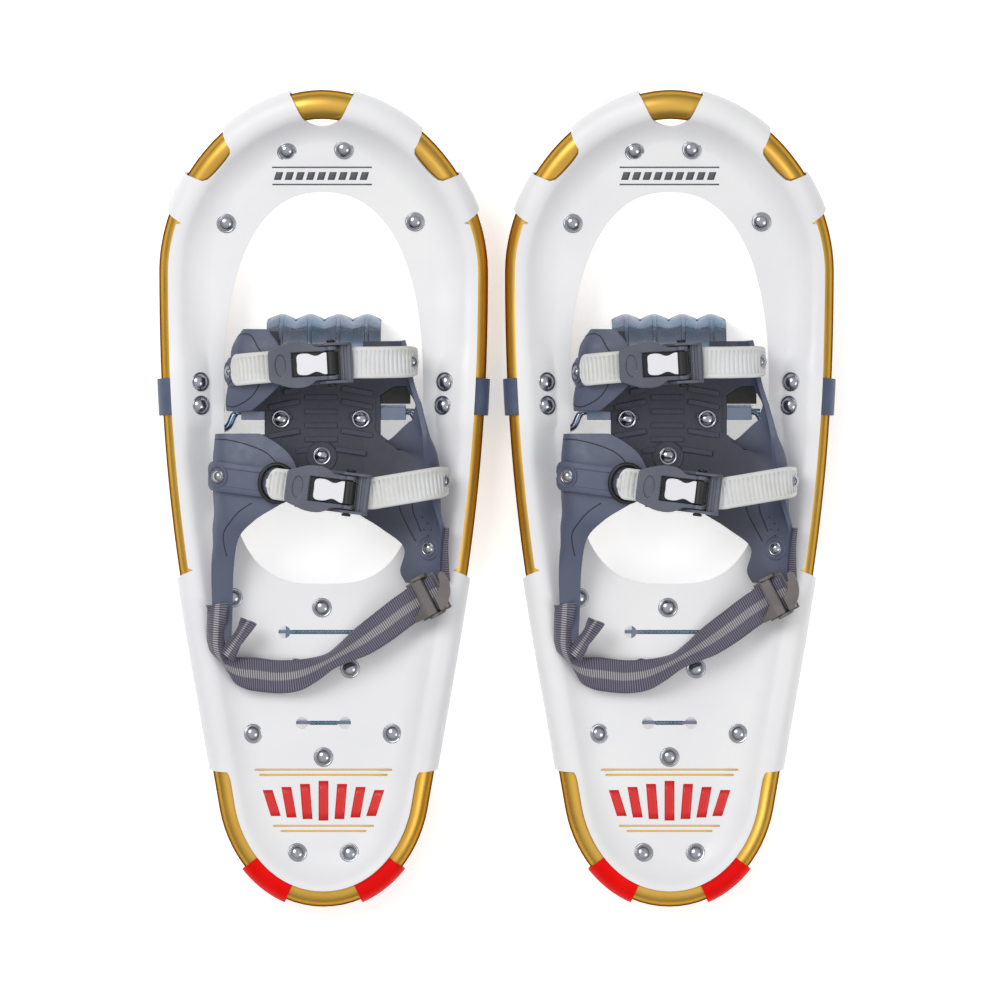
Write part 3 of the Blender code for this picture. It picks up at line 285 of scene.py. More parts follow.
floor_bm = bmesh.new()
bmesh.ops.create_grid(floor_bm, x_segments=1, y_segments=1, size=FLOOR_HALF)
floor_mesh = bpy.data.meshes.new("floor")
floor_bm.to_mesh(floor_mesh)
floor_bm.free()
floor = bpy.data.objects.new("floor", floor_mesh)
bpy.context.scene.collection.objects.link(floor)
floor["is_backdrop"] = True

camera_data = bpy.data.cameras.new("camera")
camera_data.lens = LENS
camera_data.sensor_width = SENSOR
camera = bpy.data.objects.new("camera", camera_data)
camera.location = (CAMERA_X, 0, FIELD * LENS / SENSOR + SHARP_Z)
bpy.context.scene.collection.objects.link(camera)
bpy.context.scene.camera = camera


def add_softbox(name, place, size, power):
    """A round soft light of this size in metres, aimed at the middle of the pair."""
    data = bpy.data.lights.new(name, "AREA")
    data.shape = "DISK"
    data.size = size
    data.energy = power
    lamp = bpy.data.objects.new(name, data)
    lamp.location = place
    lamp.rotation_euler = (-Vector(place)).to_track_quat("-Z", "Y").to_euler()
    bpy.context.scene.collection.objects.link(lamp)


add_softbox("key_light", place=(-0.9, 0.7, 1.5), size=1.0, power=13)
add_softbox("fill_light", place=(1.0, -0.5, 1.3), size=0.8, power=4)
bpy.context.scene.view_settings.view_transform = "Standard"
print("camera at", tuple(round(v, 3) for v in camera.location))

# %% [markdown]
# ## Materials
#
# Every finish starts from what the real one is. One function turns a colour from the picture, written in
# the usual hex form, into the linear numbers that shaders use. One more adds a node with its settings and
# links. Patterns read object coordinates, so their scale comes straight from millimetres.

# %% Material helpers
def linear(hex_colour):
    """The linear colour that shaders use, from six hex digits."""
    found = []
    for i in (0, 2, 4):
        share = int(hex_colour[i:i + 2], 16) / 255
        found.append(share / 12.92 if share <= 0.04045 else ((share + 0.055) / 1.055) ** 2.4)
    return (*found, 1)


def add_node(look, kind, inputs=None, **settings):
    """Adds a node. Each input is a plain value or the output socket that feeds it."""
    tree = look.node_tree
    node = tree.nodes.new("ShaderNode" + kind)
    for key, value in settings.items():
        setattr(node, key, value)
    for key, value in (inputs or {}).items():
        if isinstance(value, bpy.types.NodeSocket):
            tree.links.new(value, node.inputs[key])
        else:
            node.inputs[key].default_value = value
    return node


def add_mix(look, share, tone_a, tone_b):
    """Mixes two tones, each a colour or an output socket, and gives the mixed colour's socket."""
    return add_node(look, "Mix", {0: share, 6: tone_a, 7: tone_b}, data_type="RGBA").outputs[2]


def per_metre(size_mm):
    """The noise scale whose features are about this many millimetres across."""
    return 1 / (size_mm * MM)


def add_noise(look, place, size_mm, detail):
    """A noise with features of this size."""
    settings = {"Vector": place, "Scale": per_metre(size_mm), "Detail": detail}
    return add_node(look, "TexNoise", settings).outputs[0]


def start_material(name, hex_colour, roughness, metallic=0):
    """A new material and its shader."""
    look = bpy.data.materials.new(name)
    look.use_nodes = True
    shader = look.node_tree.nodes["Principled BSDF"]
    shader.inputs["Base Color"].default_value = linear(hex_colour)
    shader.inputs["Roughness"].default_value = roughness
    shader.inputs["Metallic"].default_value = metallic
    return look, shader


def place_on(look):
    """The object's own coordinates, in metres, which patterns read."""
    return add_node(look, "TexCoord").outputs["Object"]


print("material helpers ready")

# %% [markdown]
# Four things make a plain colour look like a real surface: fine relief, tones that wander in patches, a
# gloss that is a little uneven, and their sizes. Most finishes here need no more, so one function sets
# them all.

# %% Finishes
PATCH_EDGES = (0.35, 0.65)
GLOSS_EDGES = (0.3, 0.7)


def add_relief(look, shader, height, depth_mm, normal=None):
    """Raises the surface by a pattern, on top of an earlier relief if there is one."""
    settings = {"Height": height, "Strength": 1, "Distance": depth_mm * MM}
    if normal is not None:
        settings["Normal"] = normal
    bump = add_node(look, "Bump", settings)
    look.node_tree.links.new(bump.outputs["Normal"], shader.inputs["Normal"])
    return bump.outputs["Normal"]


def add_patches(look, shader, place, size_mm, hex_a, hex_b):
    """Lets the colour wander between two tones in patches of this size."""
    low, high = PATCH_EDGES
    level = {"Value": add_noise(look, place, size_mm, 3), "From Min": low, "From Max": high}
    share = add_node(look, "MapRange", level).outputs[0]
    tone = add_mix(look, share, linear(hex_a), linear(hex_b))
    look.node_tree.links.new(tone, shader.inputs["Base Color"])
    return tone


def add_gloss(look, shader, place, size_mm, smoothest, roughest):
    """Lets the roughness wander between two values."""
    low, high = GLOSS_EDGES
    level = {"Value": add_noise(look, place, size_mm, 4), "From Min": low, "From Max": high}
    level |= {"To Min": smoothest, "To Max": roughest}
    worn = add_node(look, "MapRange", level).outputs[0]
    look.node_tree.links.new(worn, shader.inputs["Roughness"])


def coat(name, hex_colour, roughness, metallic=0, grain=(0.8, 0.02), patches=(), gloss=(), specular=0.5):
    """A whole finish.

    grain is a size and a depth in mm. patches and gloss are a size in mm and two tones or roughnesses.
    """
    look, shader = start_material(name, hex_colour, roughness, metallic)
    place = place_on(look)
    shader.inputs["Specular IOR Level"].default_value = specular
    size, depth = grain
    add_relief(look, shader, add_noise(look, place, size, 2), depth)
    if patches:
        add_patches(look, shader, place, *patches)
    if gloss:
        add_gloss(look, shader, place, *gloss)
    return look


print("one call makes a finish")

# %% [markdown]
# The room itself is the largest light: bright overhead and dim near the horizon. Flat and matt things
# only see the bright part, while rounded metal picks up the dim edge, and that gives rivets and tubes
# their dark rims.

# %% Room light
ROOM_LOW = 0.1
ROOM_HIGH = 0.85
DIM_BELOW = 0.1
BRIGHT_ABOVE = 0.9
world = bpy.data.worlds.new("studio")
world.use_nodes = True
split = add_node(world, "SeparateXYZ", {"Vector": add_node(world, "TexCoord").outputs["Generated"]})
level = {"Value": split.outputs["Z"], "From Min": DIM_BELOW, "From Max": BRIGHT_ABOVE}
level |= {"To Min": ROOM_LOW, "To Max": ROOM_HIGH}
glow = add_node(world, "MapRange", level)
background = world.node_tree.nodes["Background"]
background.inputs["Color"].default_value = (1, 1, 1, 1)
world.node_tree.links.new(glow.outputs[0], background.inputs["Strength"])
bpy.context.scene.world = world
print("room light from", ROOM_LOW, "to", ROOM_HIGH)

# %% [markdown]
# ### Metals
#
# The tube is aluminium under a satin gold coat: a coloured metal with a soft, slightly uneven gloss.
# Where the tube turns away from the camera its colour is painted dark brown: painted shade for the tube's
# dark rims. The claws and blades are steel with a bright zinc plating, whose thin passive film turns blue,
# violet and green in patches. The rivets are polished nickel, the smoothest surface on the shoe.

# %% Metals
gold, shader = start_material("gold_coated_aluminium", "D2A244", 0.32, 1)
place = place_on(gold)
add_relief(gold, shader, add_noise(gold, place, 0.8, 2), 0.003)
face_on = add_patches(gold, shader, place, 90, "D6A648", "E0B456")
# Painted shade: the colour darkens to brown where the surface turns away from the camera.
slant = add_node(gold, "LayerWeight", {"Blend": 0.5}).outputs["Facing"]
steep = {"Value": slant, "From Min": 0.25, "From Max": 0.8}
depth = add_node(gold, "MapRange", steep, interpolation_type="SMOOTHSTEP").outputs[0]
gold.node_tree.links.new(add_mix(gold, depth, face_on, linear("6E430C")), shader.inputs["Base Color"])
shader.inputs["Specular Tint"].default_value = linear("8A6228")
add_gloss(gold, shader, place, 14, 0.34, 0.42)

zinc = coat(
    "bright_zinc_steel", "8592A0", 0.3, 1,
    grain=(3, 0.01), patches=(22, "6F8498", "84879A"), gloss=(6, 0.22, 0.32),
)
nickel = coat("polished_nickel", "A6A9B0", 0.16, 1, grain=(1.2, 0.006), gloss=(3, 0.12, 0.24))
teal_zinc = coat("passivated_zinc", "4F8496", 0.3, 1, grain=(1, 0.01), patches=(5, "3F7A90", "6A93A0"))
print("metals:", gold.name, zinc.name, nickel.name, teal_zinc.name)

# %% [markdown]
# ### Sheet and moulded plastics
#
# The deck is a fabric core between two coats of white urethane: the coat is satin and shows a faint pearl
# mottle and the slight waviness of a sheet that was pulled tight. The harness is moulded nylon with a
# matt spark-eroded grain. Its colour is painted darker low down on the bed and blue-grey higher up on the
# wings: painted shade and light, laid by height. Ladder straps are off-white nylon, the release tabs a
# glossier white.

# %% Deck and moulded plastics
BED_SHADE_Z = 33.6
WING_LIT_Z = 42

deck_white, shader = start_material("white_coated_deck", "EAEAEC", 0.42)
place = place_on(deck_white)
add_patches(deck_white, shader, place, 70, "E7E7EA", "EDEDEE")
wavy = add_relief(deck_white, shader, add_noise(deck_white, place, 45, 1), 0.9)
add_relief(deck_white, shader, add_noise(deck_white, place, 0.9, 2), 0.012, wavy)
add_gloss(deck_white, shader, place, 20, 0.36, 0.5)

harness_grey, shader = start_material("moulded_harness_nylon", "5B5F70", 0.5)
place = place_on(harness_grey)
add_relief(harness_grey, shader, add_noise(harness_grey, place, 0.7, 2), 0.03)
# Painted shade and light: the colour goes from dark on the low bed to blue-grey on the high wings.
split = add_node(harness_grey, "SeparateXYZ", {"Vector": place})
level = {"Value": split.outputs["Z"], "From Min": BED_SHADE_Z * MM, "From Max": WING_LIT_Z * MM}
height = add_node(harness_grey, "MapRange", level, interpolation_type="SMOOTHSTEP").outputs[0]
tone = add_mix(harness_grey, height, linear("393B47"), linear("545A70"))
harness_grey.node_tree.links.new(tone, shader.inputs["Base Color"])
add_gloss(harness_grey, shader, place, 6, 0.42, 0.56)

buckle_grey = coat(
    "moulded_buckle_nylon", "585B68", 0.28,
    grain=(0.8, 0.015), patches=(25, "535662", "5F636F"), gloss=(5, 0.24, 0.36),
)
ladder_white = coat(
    "ladder_nylon", "D6D7D5", 0.4,
    grain=(0.6, 0.015), patches=(30, "D2D2CE", "DCDDDF"), gloss=(6, 0.34, 0.46),
)
tab_white = coat("white_acetal", "E6E6EB", 0.3, grain=(1, 0.01), gloss=(5, 0.24, 0.36))
tab_red = coat("red_urethane", "EC0703", 0.5, patches=(18, "E60502", "F00904"), specular=0.1)
band_grey = coat("grey_coated_strap", "4C5870", 0.5, grain=(0.9, 0.03), patches=(12, "48546C", "525E77"))
cam_grey = coat("moulded_cam_nylon", "6B6564", 0.42, grain=(0.7, 0.02), patches=(15, "666060", "736D6B"))
black_rubber_and_shade = coat("black_rubber_and_painted_shade", "101012", 0.4, gloss=(4, 0.34, 0.5))
# Painted shade for the moulded grooves and vent dimples.
groove_shade_dark = coat("shaded_harness_nylon", "26272C", 0.5, grain=(0.7, 0.02))
print("deck, harness, buckles, straps and tabs have their finishes")

# %% [markdown]
# ### Inks and floor
#
# Printed ink is a thin film with the coat's own fine grain. The floor is a matt white card that glows a
# little, so that it stays white under the shoes.

# %% Inks and floor
print_red = coat("red_print_ink", "D81F1C", 0.36, grain=(0.9, 0.01))
print_gold = coat("gold_print_ink", "E3B655", 0.4, grain=(0.9, 0.01))
print_dark = coat("dark_print_ink", "57585E", 0.4, grain=(0.9, 0.01))

floor_look, shader = start_material("pale_floor", "FBFBFB", 0.9)
shader.inputs["Emission Color"].default_value = (1, 1, 1, 1)
shader.inputs["Emission Strength"].default_value = 0.4
floor.data.materials.append(floor_look)
print("inks:", print_red.name, print_gold.name, print_dark.name)

# %% [markdown]
# ### Woven webbing
#
# Webbing is a narrow plain weave: thick weft ribs cross it every millimetre or so, with a painted highlight
# on each rib and painted shade between them. A paler stripe of yarn runs down its middle. The strap's own
# UV
# map gives both: u runs across the width from 0 to 1 and v along it, one unit for each rib. The ribs are
# drawn 1.5 mm apart, a little coarser than real ones, so that they show at this picture's size.

# %% Webbing
RIB_PITCH = 1.5
RIB_HEIGHT = 0.25
STRIPE_EDGES = (0.1, 0.14)
webbing_look, shader = start_material("woven_webbing", "5C5765", 0.78)
uv = add_node(webbing_look, "UVMap", uv_map="UVMap").outputs["UV"]
split = add_node(webbing_look, "SeparateXYZ", {"Vector": uv})
turn = add_node(webbing_look, "Math", {0: split.outputs["Y"], 1: 2 * math.pi}, operation="MULTIPLY")
wave = add_node(webbing_look, "Math", {0: turn.outputs[0]}, operation="SINE")
level = {"Value": wave.outputs[0], "From Min": -1, "From Max": 1}
rib = add_node(webbing_look, "MapRange", level).outputs[0]
away = add_node(webbing_look, "Math", {0: split.outputs["X"], 1: 0.5}, operation="SUBTRACT")
apart = add_node(webbing_look, "Math", {0: away.outputs[0]}, operation="ABSOLUTE")
level = {"Value": apart.outputs[0], "From Min": STRIPE_EDGES[0], "From Max": STRIPE_EDGES[1]}
stripe = add_node(webbing_look, "MapRange", level | {"To Min": 1, "To Max": 0}).outputs[0]
yarn = add_mix(webbing_look, stripe, linear("7C788A"), linear("BAB6BA"))
# Painted highlight and shade: the colour is light on each rib and dark in the gaps between ribs.
lit = add_node(webbing_look, "MapRange", {"Value": rib, "To Min": 0.1, "To Max": 1}).outputs[0]
shaded = add_mix(webbing_look, lit, linear("232130"), yarn)
webbing_look.node_tree.links.new(shaded, shader.inputs["Base Color"])
add_relief(webbing_look, shader, rib, RIB_HEIGHT)
shader.inputs["Sheen Weight"].default_value = 0.2
print("webbing ribs every", RIB_PITCH, "mm")

# %% [markdown]
# ## The frame's line
#
# One closed line carries the frame tube, the deck's wraps, the bands and the tabs. Seen from above, the
# toe is a superellipse, the sides run gently together and the tail is a tighter curve. Seen from the
# side, the toe sweeps up. The functions below give a place on that line, and its inward and upward
# directions.

# %% Tube line
SHOE_LENGTH = 533.4
TUBE_RADIUS = 9.5
TOE_HALF = 98.3
TOE_ROUNDNESS = 1.88
SHOULDER_Y = 150
SHOULDER_PULL = 150
TAIL_HALF = 59
TAIL_Y = -200
TAIL_TAPER = 0.17
SIDE_PULL = 130
TAIL_PULL = 30
TAIL_FULLNESS = 0.54
TOE_RISE = 36
TOE_RISE_Y = 125
DECK_Z = 30
DECK_OVER_TUBE = 3
TUBE_Z = DECK_Z - DECK_OVER_TUBE
TOE_POINTS = 60
SIDE_POINTS = 90
TAIL_POINTS = 50


def bezier(p0, p1, p2, p3, t):
    """The place at share t on a curve with these end points and handles."""
    a = p0.lerp(p1, t)
    b = p1.lerp(p2, t)
    c = p2.lerp(p3, t)
    return a.lerp(b, t).lerp(b.lerp(c, t), t)


def half_line():
    """The tube's centre line seen from above, from the toe down the +X side to the tail."""
    end = SHOE_LENGTH / 2 - TUBE_RADIUS
    power = 2 / TOE_ROUNDNESS
    points = []
    for i in range(TOE_POINTS):
        angle = math.pi / 2 * (1 - i / TOE_POINTS)
        x = TOE_HALF * math.cos(angle) ** power
        points.append(Vector((x, SHOULDER_Y + (end - SHOULDER_Y) * math.sin(angle) ** power)))
    side = (
        Vector((TOE_HALF, SHOULDER_Y)), Vector((TOE_HALF, SHOULDER_Y - SHOULDER_PULL)),
        Vector((TAIL_HALF + TAIL_TAPER * SIDE_PULL, TAIL_Y + SIDE_PULL)), Vector((TAIL_HALF, TAIL_Y)),
    )
    tail = (
        side[3], Vector((TAIL_HALF - TAIL_TAPER * TAIL_PULL, TAIL_Y - TAIL_PULL)),
        Vector((TAIL_HALF * TAIL_FULLNESS, -end)), Vector((0, -end)),
    )
    points += [bezier(*side, i / SIDE_POINTS) for i in range(SIDE_POINTS)]
    return points + [bezier(*tail, i / TAIL_POINTS) for i in range(TAIL_POINTS + 1)]


HALF = half_line()
LOOP = HALF + [Vector((-p.x, p.y)) for p in HALF[-2:0:-1]]
GONE = [0.0]
for here, there in zip(LOOP, LOOP[1:] + LOOP[:1]):
    GONE.append(GONE[-1] + (there - here).length)
ROUND = GONE[-1]
print("tube line is", round(ROUND), "mm long")

# %% [markdown]
# A distance s round that line, in millimetres from the toe, names any place on the tube. From it come the
# point itself and two directions: inward, towards the middle of the shoe, and up.

# %% Places on the tube
FRAME_REACH = 2


def rise(y):
    """How far the toe's sweep lifts the tube and the deck at this y."""
    return TOE_RISE * (max(0, y - TOE_RISE_Y) / (SHOE_LENGTH / 2 - TOE_RISE_Y)) ** 2


def slope(y):
    """How steep that sweep is."""
    return 2 * TOE_RISE * max(0, y - TOE_RISE_Y) / (SHOE_LENGTH / 2 - TOE_RISE_Y) ** 2


def plan_at(s):
    """The place at this distance, seen from above."""
    s = s % ROUND
    low = 0
    high = len(LOOP)
    while high - low > 1:
        middle = (low + high) // 2
        if GONE[middle] <= s:
            low = middle
        else:
            high = middle
    share = (s - GONE[low]) / (GONE[low + 1] - GONE[low])
    return LOOP[low].lerp(LOOP[(low + 1) % len(LOOP)], share)


def tube_frame(s):
    """The tube's centre at this distance, and its inward and upward directions."""
    here = plan_at(s)
    ahead = plan_at(s + FRAME_REACH) - plan_at(s - FRAME_REACH)
    lean = slope(here.y)
    along = Vector((ahead.x, ahead.y, lean * ahead.y)).normalized()
    inward = Vector((ahead.y, -ahead.x, -lean * ahead.x))
    inward = (inward - along * inward.dot(along)).normalized()
    return Vector((here.x, here.y, TUBE_Z + rise(here.y))), inward, inward.cross(along).normalized()


def s_where(axis, value):
    """The first distance, down the +X side, where x (axis 0) or y (axis 1) has this value."""
    for i in range(len(HALF) - 1):
        a = HALF[i][axis]
        b = HALF[i + 1][axis]
        if min(a, b) <= value <= max(a, b) and a != b:
            return GONE[i] + (value - a) / (b - a) * (GONE[i + 1] - GONE[i])
    raise ValueError("the tube doesn't reach that place")


def around_tube(s, points):
    """Points given as (inset, height) from the tube's centre, at this distance round it."""
    centre, inward, up = tube_frame(s)
    return [centre + inward * d + up * b for d, b in points]


print("widest at y =", max(HALF, key=lambda p: p.x).y, "mm")

# %% [markdown]
# ## Frame tube
#
# The frame is one aluminium tube, bent to shape and welded shut at the tail. A ring of points is carried
# round the line and welded to itself. It replaces the plainer solid from the mechanical model.

# %% Frame tube
STATIONS = 220
TUBE_SIDES = 24
bm = bmesh.new()
ring = arc((0, 0), TUBE_RADIUS, spread(0, 360, TUBE_SIDES))
lay_sheet(bm, [around_tube(ROUND * i / STATIONS, ring) for i in range(STATIONS)], ring=True)
bmesh.ops.remove_doubles(bm, verts=bm.verts, dist=WELD)
finish_piece("tube", bm, gold, "shoe", ["frame_tube"])
print("tube drawn at", STATIONS, "stations")

# %% [markdown]
# ## Deck
#
# The deck is one cut sheet. Six flaps wrap the tube and are riveted back to it: two at the toe, two at
# the front corners and two long ones at the rear. Between them notches leave the tube bare. Along the
# sides the edge lies a little past the tube's middle, and at the tail just inside it. Each row of the
# grid starts at the sheet's edge, comes over the tube, drops to deck level and runs in to the big
# opening.

# %% Deck rows
DECK_SHEET = 1.6
DECK_LEAN = 56
DECK_CLEAR = 2.3
OPENING_HALF = 65.2
OPENING_REACH = 128
OPENING_Y = 73
TOE_POWER = 2.35
HEEL_POWER = 3
BAND_Y = 68
BAND_REACH = 16.8
BAND_FADE = 16
OVER_BAND = 2.6
TAB_START_Y = TAIL_Y + 10
TAB_FADE = 14
OVER_TAB = 1.2
FILLET = 9
FILLET_STEPS = 8
FILLET_ROOM = 0.75
ROOM_LEFT = 3
POINT_GAP = 0.35


def over_tube(radius, level, lean, steps=6):
    """(inset, height) points over the tube's top, down a slope that leaves it at this lean, then level."""
    points = arc((0, 0), radius, spread(90, lean, steps))
    d, b = points[-1]
    end = (d + (b - level) * math.tan(math.radians(lean)), level)
    return points + [((d + end[0]) / 2, (b + level) / 2), end, (end[0] + 2.5, level)]


def softened(profile, room):
    """The same points with a long curve in place of the corner where the slope meets the level."""
    *points, _, corner, _ = profile
    far = max(corner[0] + 1, min(corner[0] + FILLET, room))
    a, b, c = (Vector(point) for point in (points[-1], corner, (far, corner[1])))
    for k in range(1, FILLET_STEPS + 1):
        t = k / FILLET_STEPS
        points.append(tuple(a * (1 - t) ** 2 + b * 2 * t * (1 - t) + c * t**2))
    return points


def deck_radius(y):
    """The sheet's radius over the tube, which grows where it passes over a band or a tab."""
    near = 1 - clamped((abs(y - BAND_Y) - BAND_REACH) / BAND_FADE)
    over_tab = clamped((TAB_START_Y - y) / TAB_FADE)
    return TUBE_RADIUS + DECK_CLEAR + near * near * (3 - 2 * near) * OVER_BAND + over_tab * OVER_TAB


def opening_at(direction):
    """The edge of the big opening in this direction from its middle."""
    power = HEEL_POWER if direction.y < 0 else TOE_POWER
    across = abs(direction.x) / OPENING_HALF
    along = abs(direction.y) / OPENING_REACH
    return Vector((0, OPENING_Y)) + direction / (across**power + along**power) ** (1 / power)


def height_at(d, profile):
    """The height of a profile at this inset."""
    for (d0, b0), (d1, b1) in zip(profile, profile[1:]):
        if d0 <= d <= d1:
            return b0 + (b1 - b0) * (d - d0) / (d1 - d0)
    return profile[-1][1]


def deck_row(s, edge, inner_cells=6):
    """A row from the sheet's edge, at this inset, over the tube and in to the opening."""
    centre, inward, up = tube_frame(s)
    radius = deck_radius(centre.y)
    inner = opening_at(Vector((centre.x, centre.y - OPENING_Y)).normalized())
    room = (inner - centre.xy).length * FILLET_ROOM - ROOM_LEFT
    profile = softened(over_tube(radius, DECK_OVER_TUBE, DECK_LEAN), room)
    row = []
    for i, (d, b) in enumerate(profile):
        inset = max(d if i else edge, edge + i * POINT_GAP)
        if inset > d:
            b = height_at(inset, profile)
        if inset <= 0:
            b = math.sqrt(radius**2 - inset**2)
        row.append(centre + inward * inset + up * b)
    start = row[-1].xy
    for k in range(1, inner_cells + 1):
        plan = start.lerp(inner, k / inner_cells)
        row.append(Vector((plan.x, plan.y, DECK_Z + rise(plan.y))))
    return row


print("deck rows run", round(deck_radius(0), 1), "mm from the tube's centre")

# %% [markdown]
# Down one side the rows stand at chosen places. Each has the inset of the sheet's edge, and a note of
# whether a flap goes on from there round the tube. A flap's rows are drawn back at its two ends as they
# go down, which leaves the slanted ends of a cut sheet. The other side is the same list, mirrored.

# %% Deck stations
SIDE_OVERHANG = 3
TAIL_EDGE = 1.5
NOTCH_PULL = 3.5
NOTCH_X = 14.5
NOTCH_DEPTH = 13.8
TOE_FLAP_X = 60
CORNER_DEPTH = 4.6
CORNER_FLAP = (211, 183)
REAR_FLAP = (-46, -178)
FLAP_END = ((13, -3.6), (19, 0.2), (34, 0.8))


def flap_row(s, pull):
    """A row that wraps the tube from its top, outside and under. pull draws it back as it goes down."""
    radius = deck_radius(plan_at(s).y)
    row = []
    for k, point in enumerate(arc((0, 0), radius, range(90, 301, 15)) + list(FLAP_END)):
        row += around_tube(s + pull * min(1, k / 5), [point])
    return row


def deck_stations():
    """(distance round the tube, inset of the edge, whether a flap wraps there), down the +X side."""
    notch = s_where(0, NOTCH_X)
    flap = s_where(0, TOE_FLAP_X)
    corner, corner_end = (s_where(1, y) for y in CORNER_FLAP)
    rear, rear_end = (s_where(1, y) for y in REAR_FLAP)
    found = [(s, NOTCH_DEPTH * math.sqrt(1 - (s / notch) ** 2), False) for s in spread(0, notch, 9)[:-1]]
    found += [(s, 0, True) for s in spread(notch, flap, 8)]
    for k, s in enumerate(spread(flap, corner, 11)[1:-1], 1):
        found.append((s, CORNER_DEPTH * math.sqrt(1 - (2 * k / 11 - 1) ** 2), False))
    found += [(s, 0, True) for s in spread(corner, corner_end, 6)]
    found += [(s, -SIDE_OVERHANG, False) for s in spread(corner_end + 2, rear - 2, 36)]
    found += [(s, 0, True) for s in spread(rear, rear_end, 16)]
    found.append((rear_end + 2, TAIL_EDGE * 0.6, False))
    return found + [(s, TAIL_EDGE, False) for s in spread(rear_end + 6, ROUND / 2, 26)]


half = deck_stations()
stations = half + [(ROUND - s, edge, flap) for s, edge, flap in half[-2:0:-1]]
print(len(stations), "deck rows")

# %% [markdown]
# The two slots over the heel blades are cut with a Boolean, once the sheet has its thickness. Each is a
# straight slit with a round hole at both ends, which stops the coated fabric from tearing.

# %% Deck sheet
SLOTS = ((-86.5, 59, 4), (-146, 36, 4))
SLIT_SHARE = 0.34
NECK_SHARE = 0.86
CUT_DEPTH = 12
SEAM = 0.02
FLAT_HALF = 20
FLAT_YS = (-120, -60)


def slot_outline(y, length, width):
    """A slit with a round hole at both ends. width is the holes' radius."""
    end = length / 2 - width
    neck = end - width * NECK_SHARE
    slit = width * SLIT_SHARE
    right = [(neck, y - slit)] + arc((end, y), width, range(-150, 151, 15)) + [(neck, y + slit)]
    return right + [(-px, 2 * y - py) for px, py in right]


def cut_from(bm, cutters):
    """The bmesh with these closed cutters taken away, through the exact Boolean."""
    objs = []
    for drawn in (bm, *cutters):
        bmesh.ops.recalc_face_normals(drawn, faces=drawn.faces)
        mesh = bpy.data.meshes.new("drawn")
        drawn.to_mesh(mesh)
        drawn.free()
        obj = bpy.data.objects.new("drawn", mesh)
        bpy.context.scene.collection.objects.link(obj)
        objs.append(obj)
    for cutter in objs[1:]:
        add_modifier(objs[0], "BOOLEAN", operation="DIFFERENCE", solver="EXACT", object=cutter)
    bpy.context.view_layer.update()
    done = objs[0].evaluated_get(bpy.context.evaluated_depsgraph_get()).to_mesh()
    result = bmesh.new()
    result.from_mesh(done)
    for obj in objs:
        bpy.data.objects.remove(obj)
    return result


def blank_for(outline, z0, z1):
    """A bmesh that holds one flat blank between two heights."""
    drawn = bmesh.new()
    lay_blank(drawn, outline, z1 - z0, Matrix.Translation((0, 0, z0)))
    return drawn


bm = bmesh.new()
lay_sheet(bm, [deck_row(s, edge) for s, edge, flap in stations], ring=True)
run = []
for s, edge, flap in stations + [(0, 0, False)]:
    if flap:
        run.append(s)
    elif run:
        pulls = [NOTCH_PULL, NOTCH_PULL / 2] + [0] * (len(run) - 4) + [-NOTCH_PULL / 2, -NOTCH_PULL]
        lay_sheet(bm, [flap_row(place, pull) for place, pull in zip(run, pulls)])
        run = []
bmesh.ops.remove_doubles(bm, verts=bm.verts, dist=SEAM)
bmesh.ops.recalc_face_normals(bm, faces=bm.faces)
bmesh.ops.solidify(bm, geom=bm.faces[:], thickness=DECK_SHEET)
flat = [vert.co for vert in bm.verts if abs(vert.co.x) < FLAT_HALF]
top = max(point.z for point in flat if FLAT_YS[0] < point.y < FLAT_YS[1])
bmesh.ops.translate(bm, verts=bm.verts, vec=(0, 0, DECK_Z + DECK_SHEET / 2 - top))
deck_tree = BVHTree.FromBMesh(bm)
cutters = [blank_for(slot_outline(*slot), DECK_Z - CUT_DEPTH / 2, DECK_Z + CUT_DEPTH / 2) for slot in SLOTS]
finish_piece("deck_sheet", cut_from(bm, cutters), deck_white, "shoe", ["deck"], bevel=0.35)
print("deck cut with", len(SLOTS), "slots")

# %% [markdown]
# ## Rivets
#
# Each rivet is a thin washer with a domed head. One profile is spun for every one of them. A ray cast
# down on the sheet gives each its height and lean. Those on the deck ride with the shoe, those on the bed
# with the binding.

# %% Deck rivets
RIVET = (
    (0, 3.1), (1.4, 2.98), (2.8, 2.6), (4, 1.9), (4.8, 1.1), (5.1, 0.6), (5.4, 0.55), (5.7, 0.75),
    (6.1, 0.75), (6.4, 0.4), (6.4, 0), (2, 0), (2, -4.5), (0, -4.5),
)
DECK_RIVETS = (
    (-23.3, 227), (14, 228.5), (-63.5, 181), (60, 182), (78, 62), (79.4, 77.4), (-80, 62), (-80.4, 77.4),
    (-1, -70.5), (-18.5, -110), (17.5, -110.5), (0, -168.4), (-59, -64), (57, -64), (-46, -153), (45, -153),
    (-17, -231), (17, -231),
)
ABOVE_ALL = 200


def lean_to(normal):
    """The turn that takes up, +Z, to this direction."""
    return Vector(normal).to_track_quat("Z", "Y").to_matrix().to_4x4()


def set_rivet(bm, place, normal=(0, 0, 1), size=1):
    """A rivet with its washer on this place."""
    spin_profile(bm, RIVET, Matrix.Translation(place) @ lean_to(normal) @ Matrix.Scale(size, 4))


def on_deck(x, y):
    """The place on the sheet's top at this x and y, and the direction up from it."""
    place, normal, _, _ = deck_tree.ray_cast(Vector((x, y, ABOVE_ALL)), Vector((0, 0, -1)))
    return place, normal if normal.z > 0 else -normal


bm = bmesh.new()
for x, y in DECK_RIVETS:
    set_rivet(bm, *on_deck(x, y))
finish_piece("deck_rivets", bm, nickel, "shoe")
print(len(DECK_RIVETS), "rivets on each deck")

# %% [markdown]
# ## Printed marks on the deck
#
# The deck carries a plain sporty print: a fan of red bars between fine gold lines at the tail, and a
# short row of dark dashes at the toe. Each mark is a film of ink that follows the deck's surface.

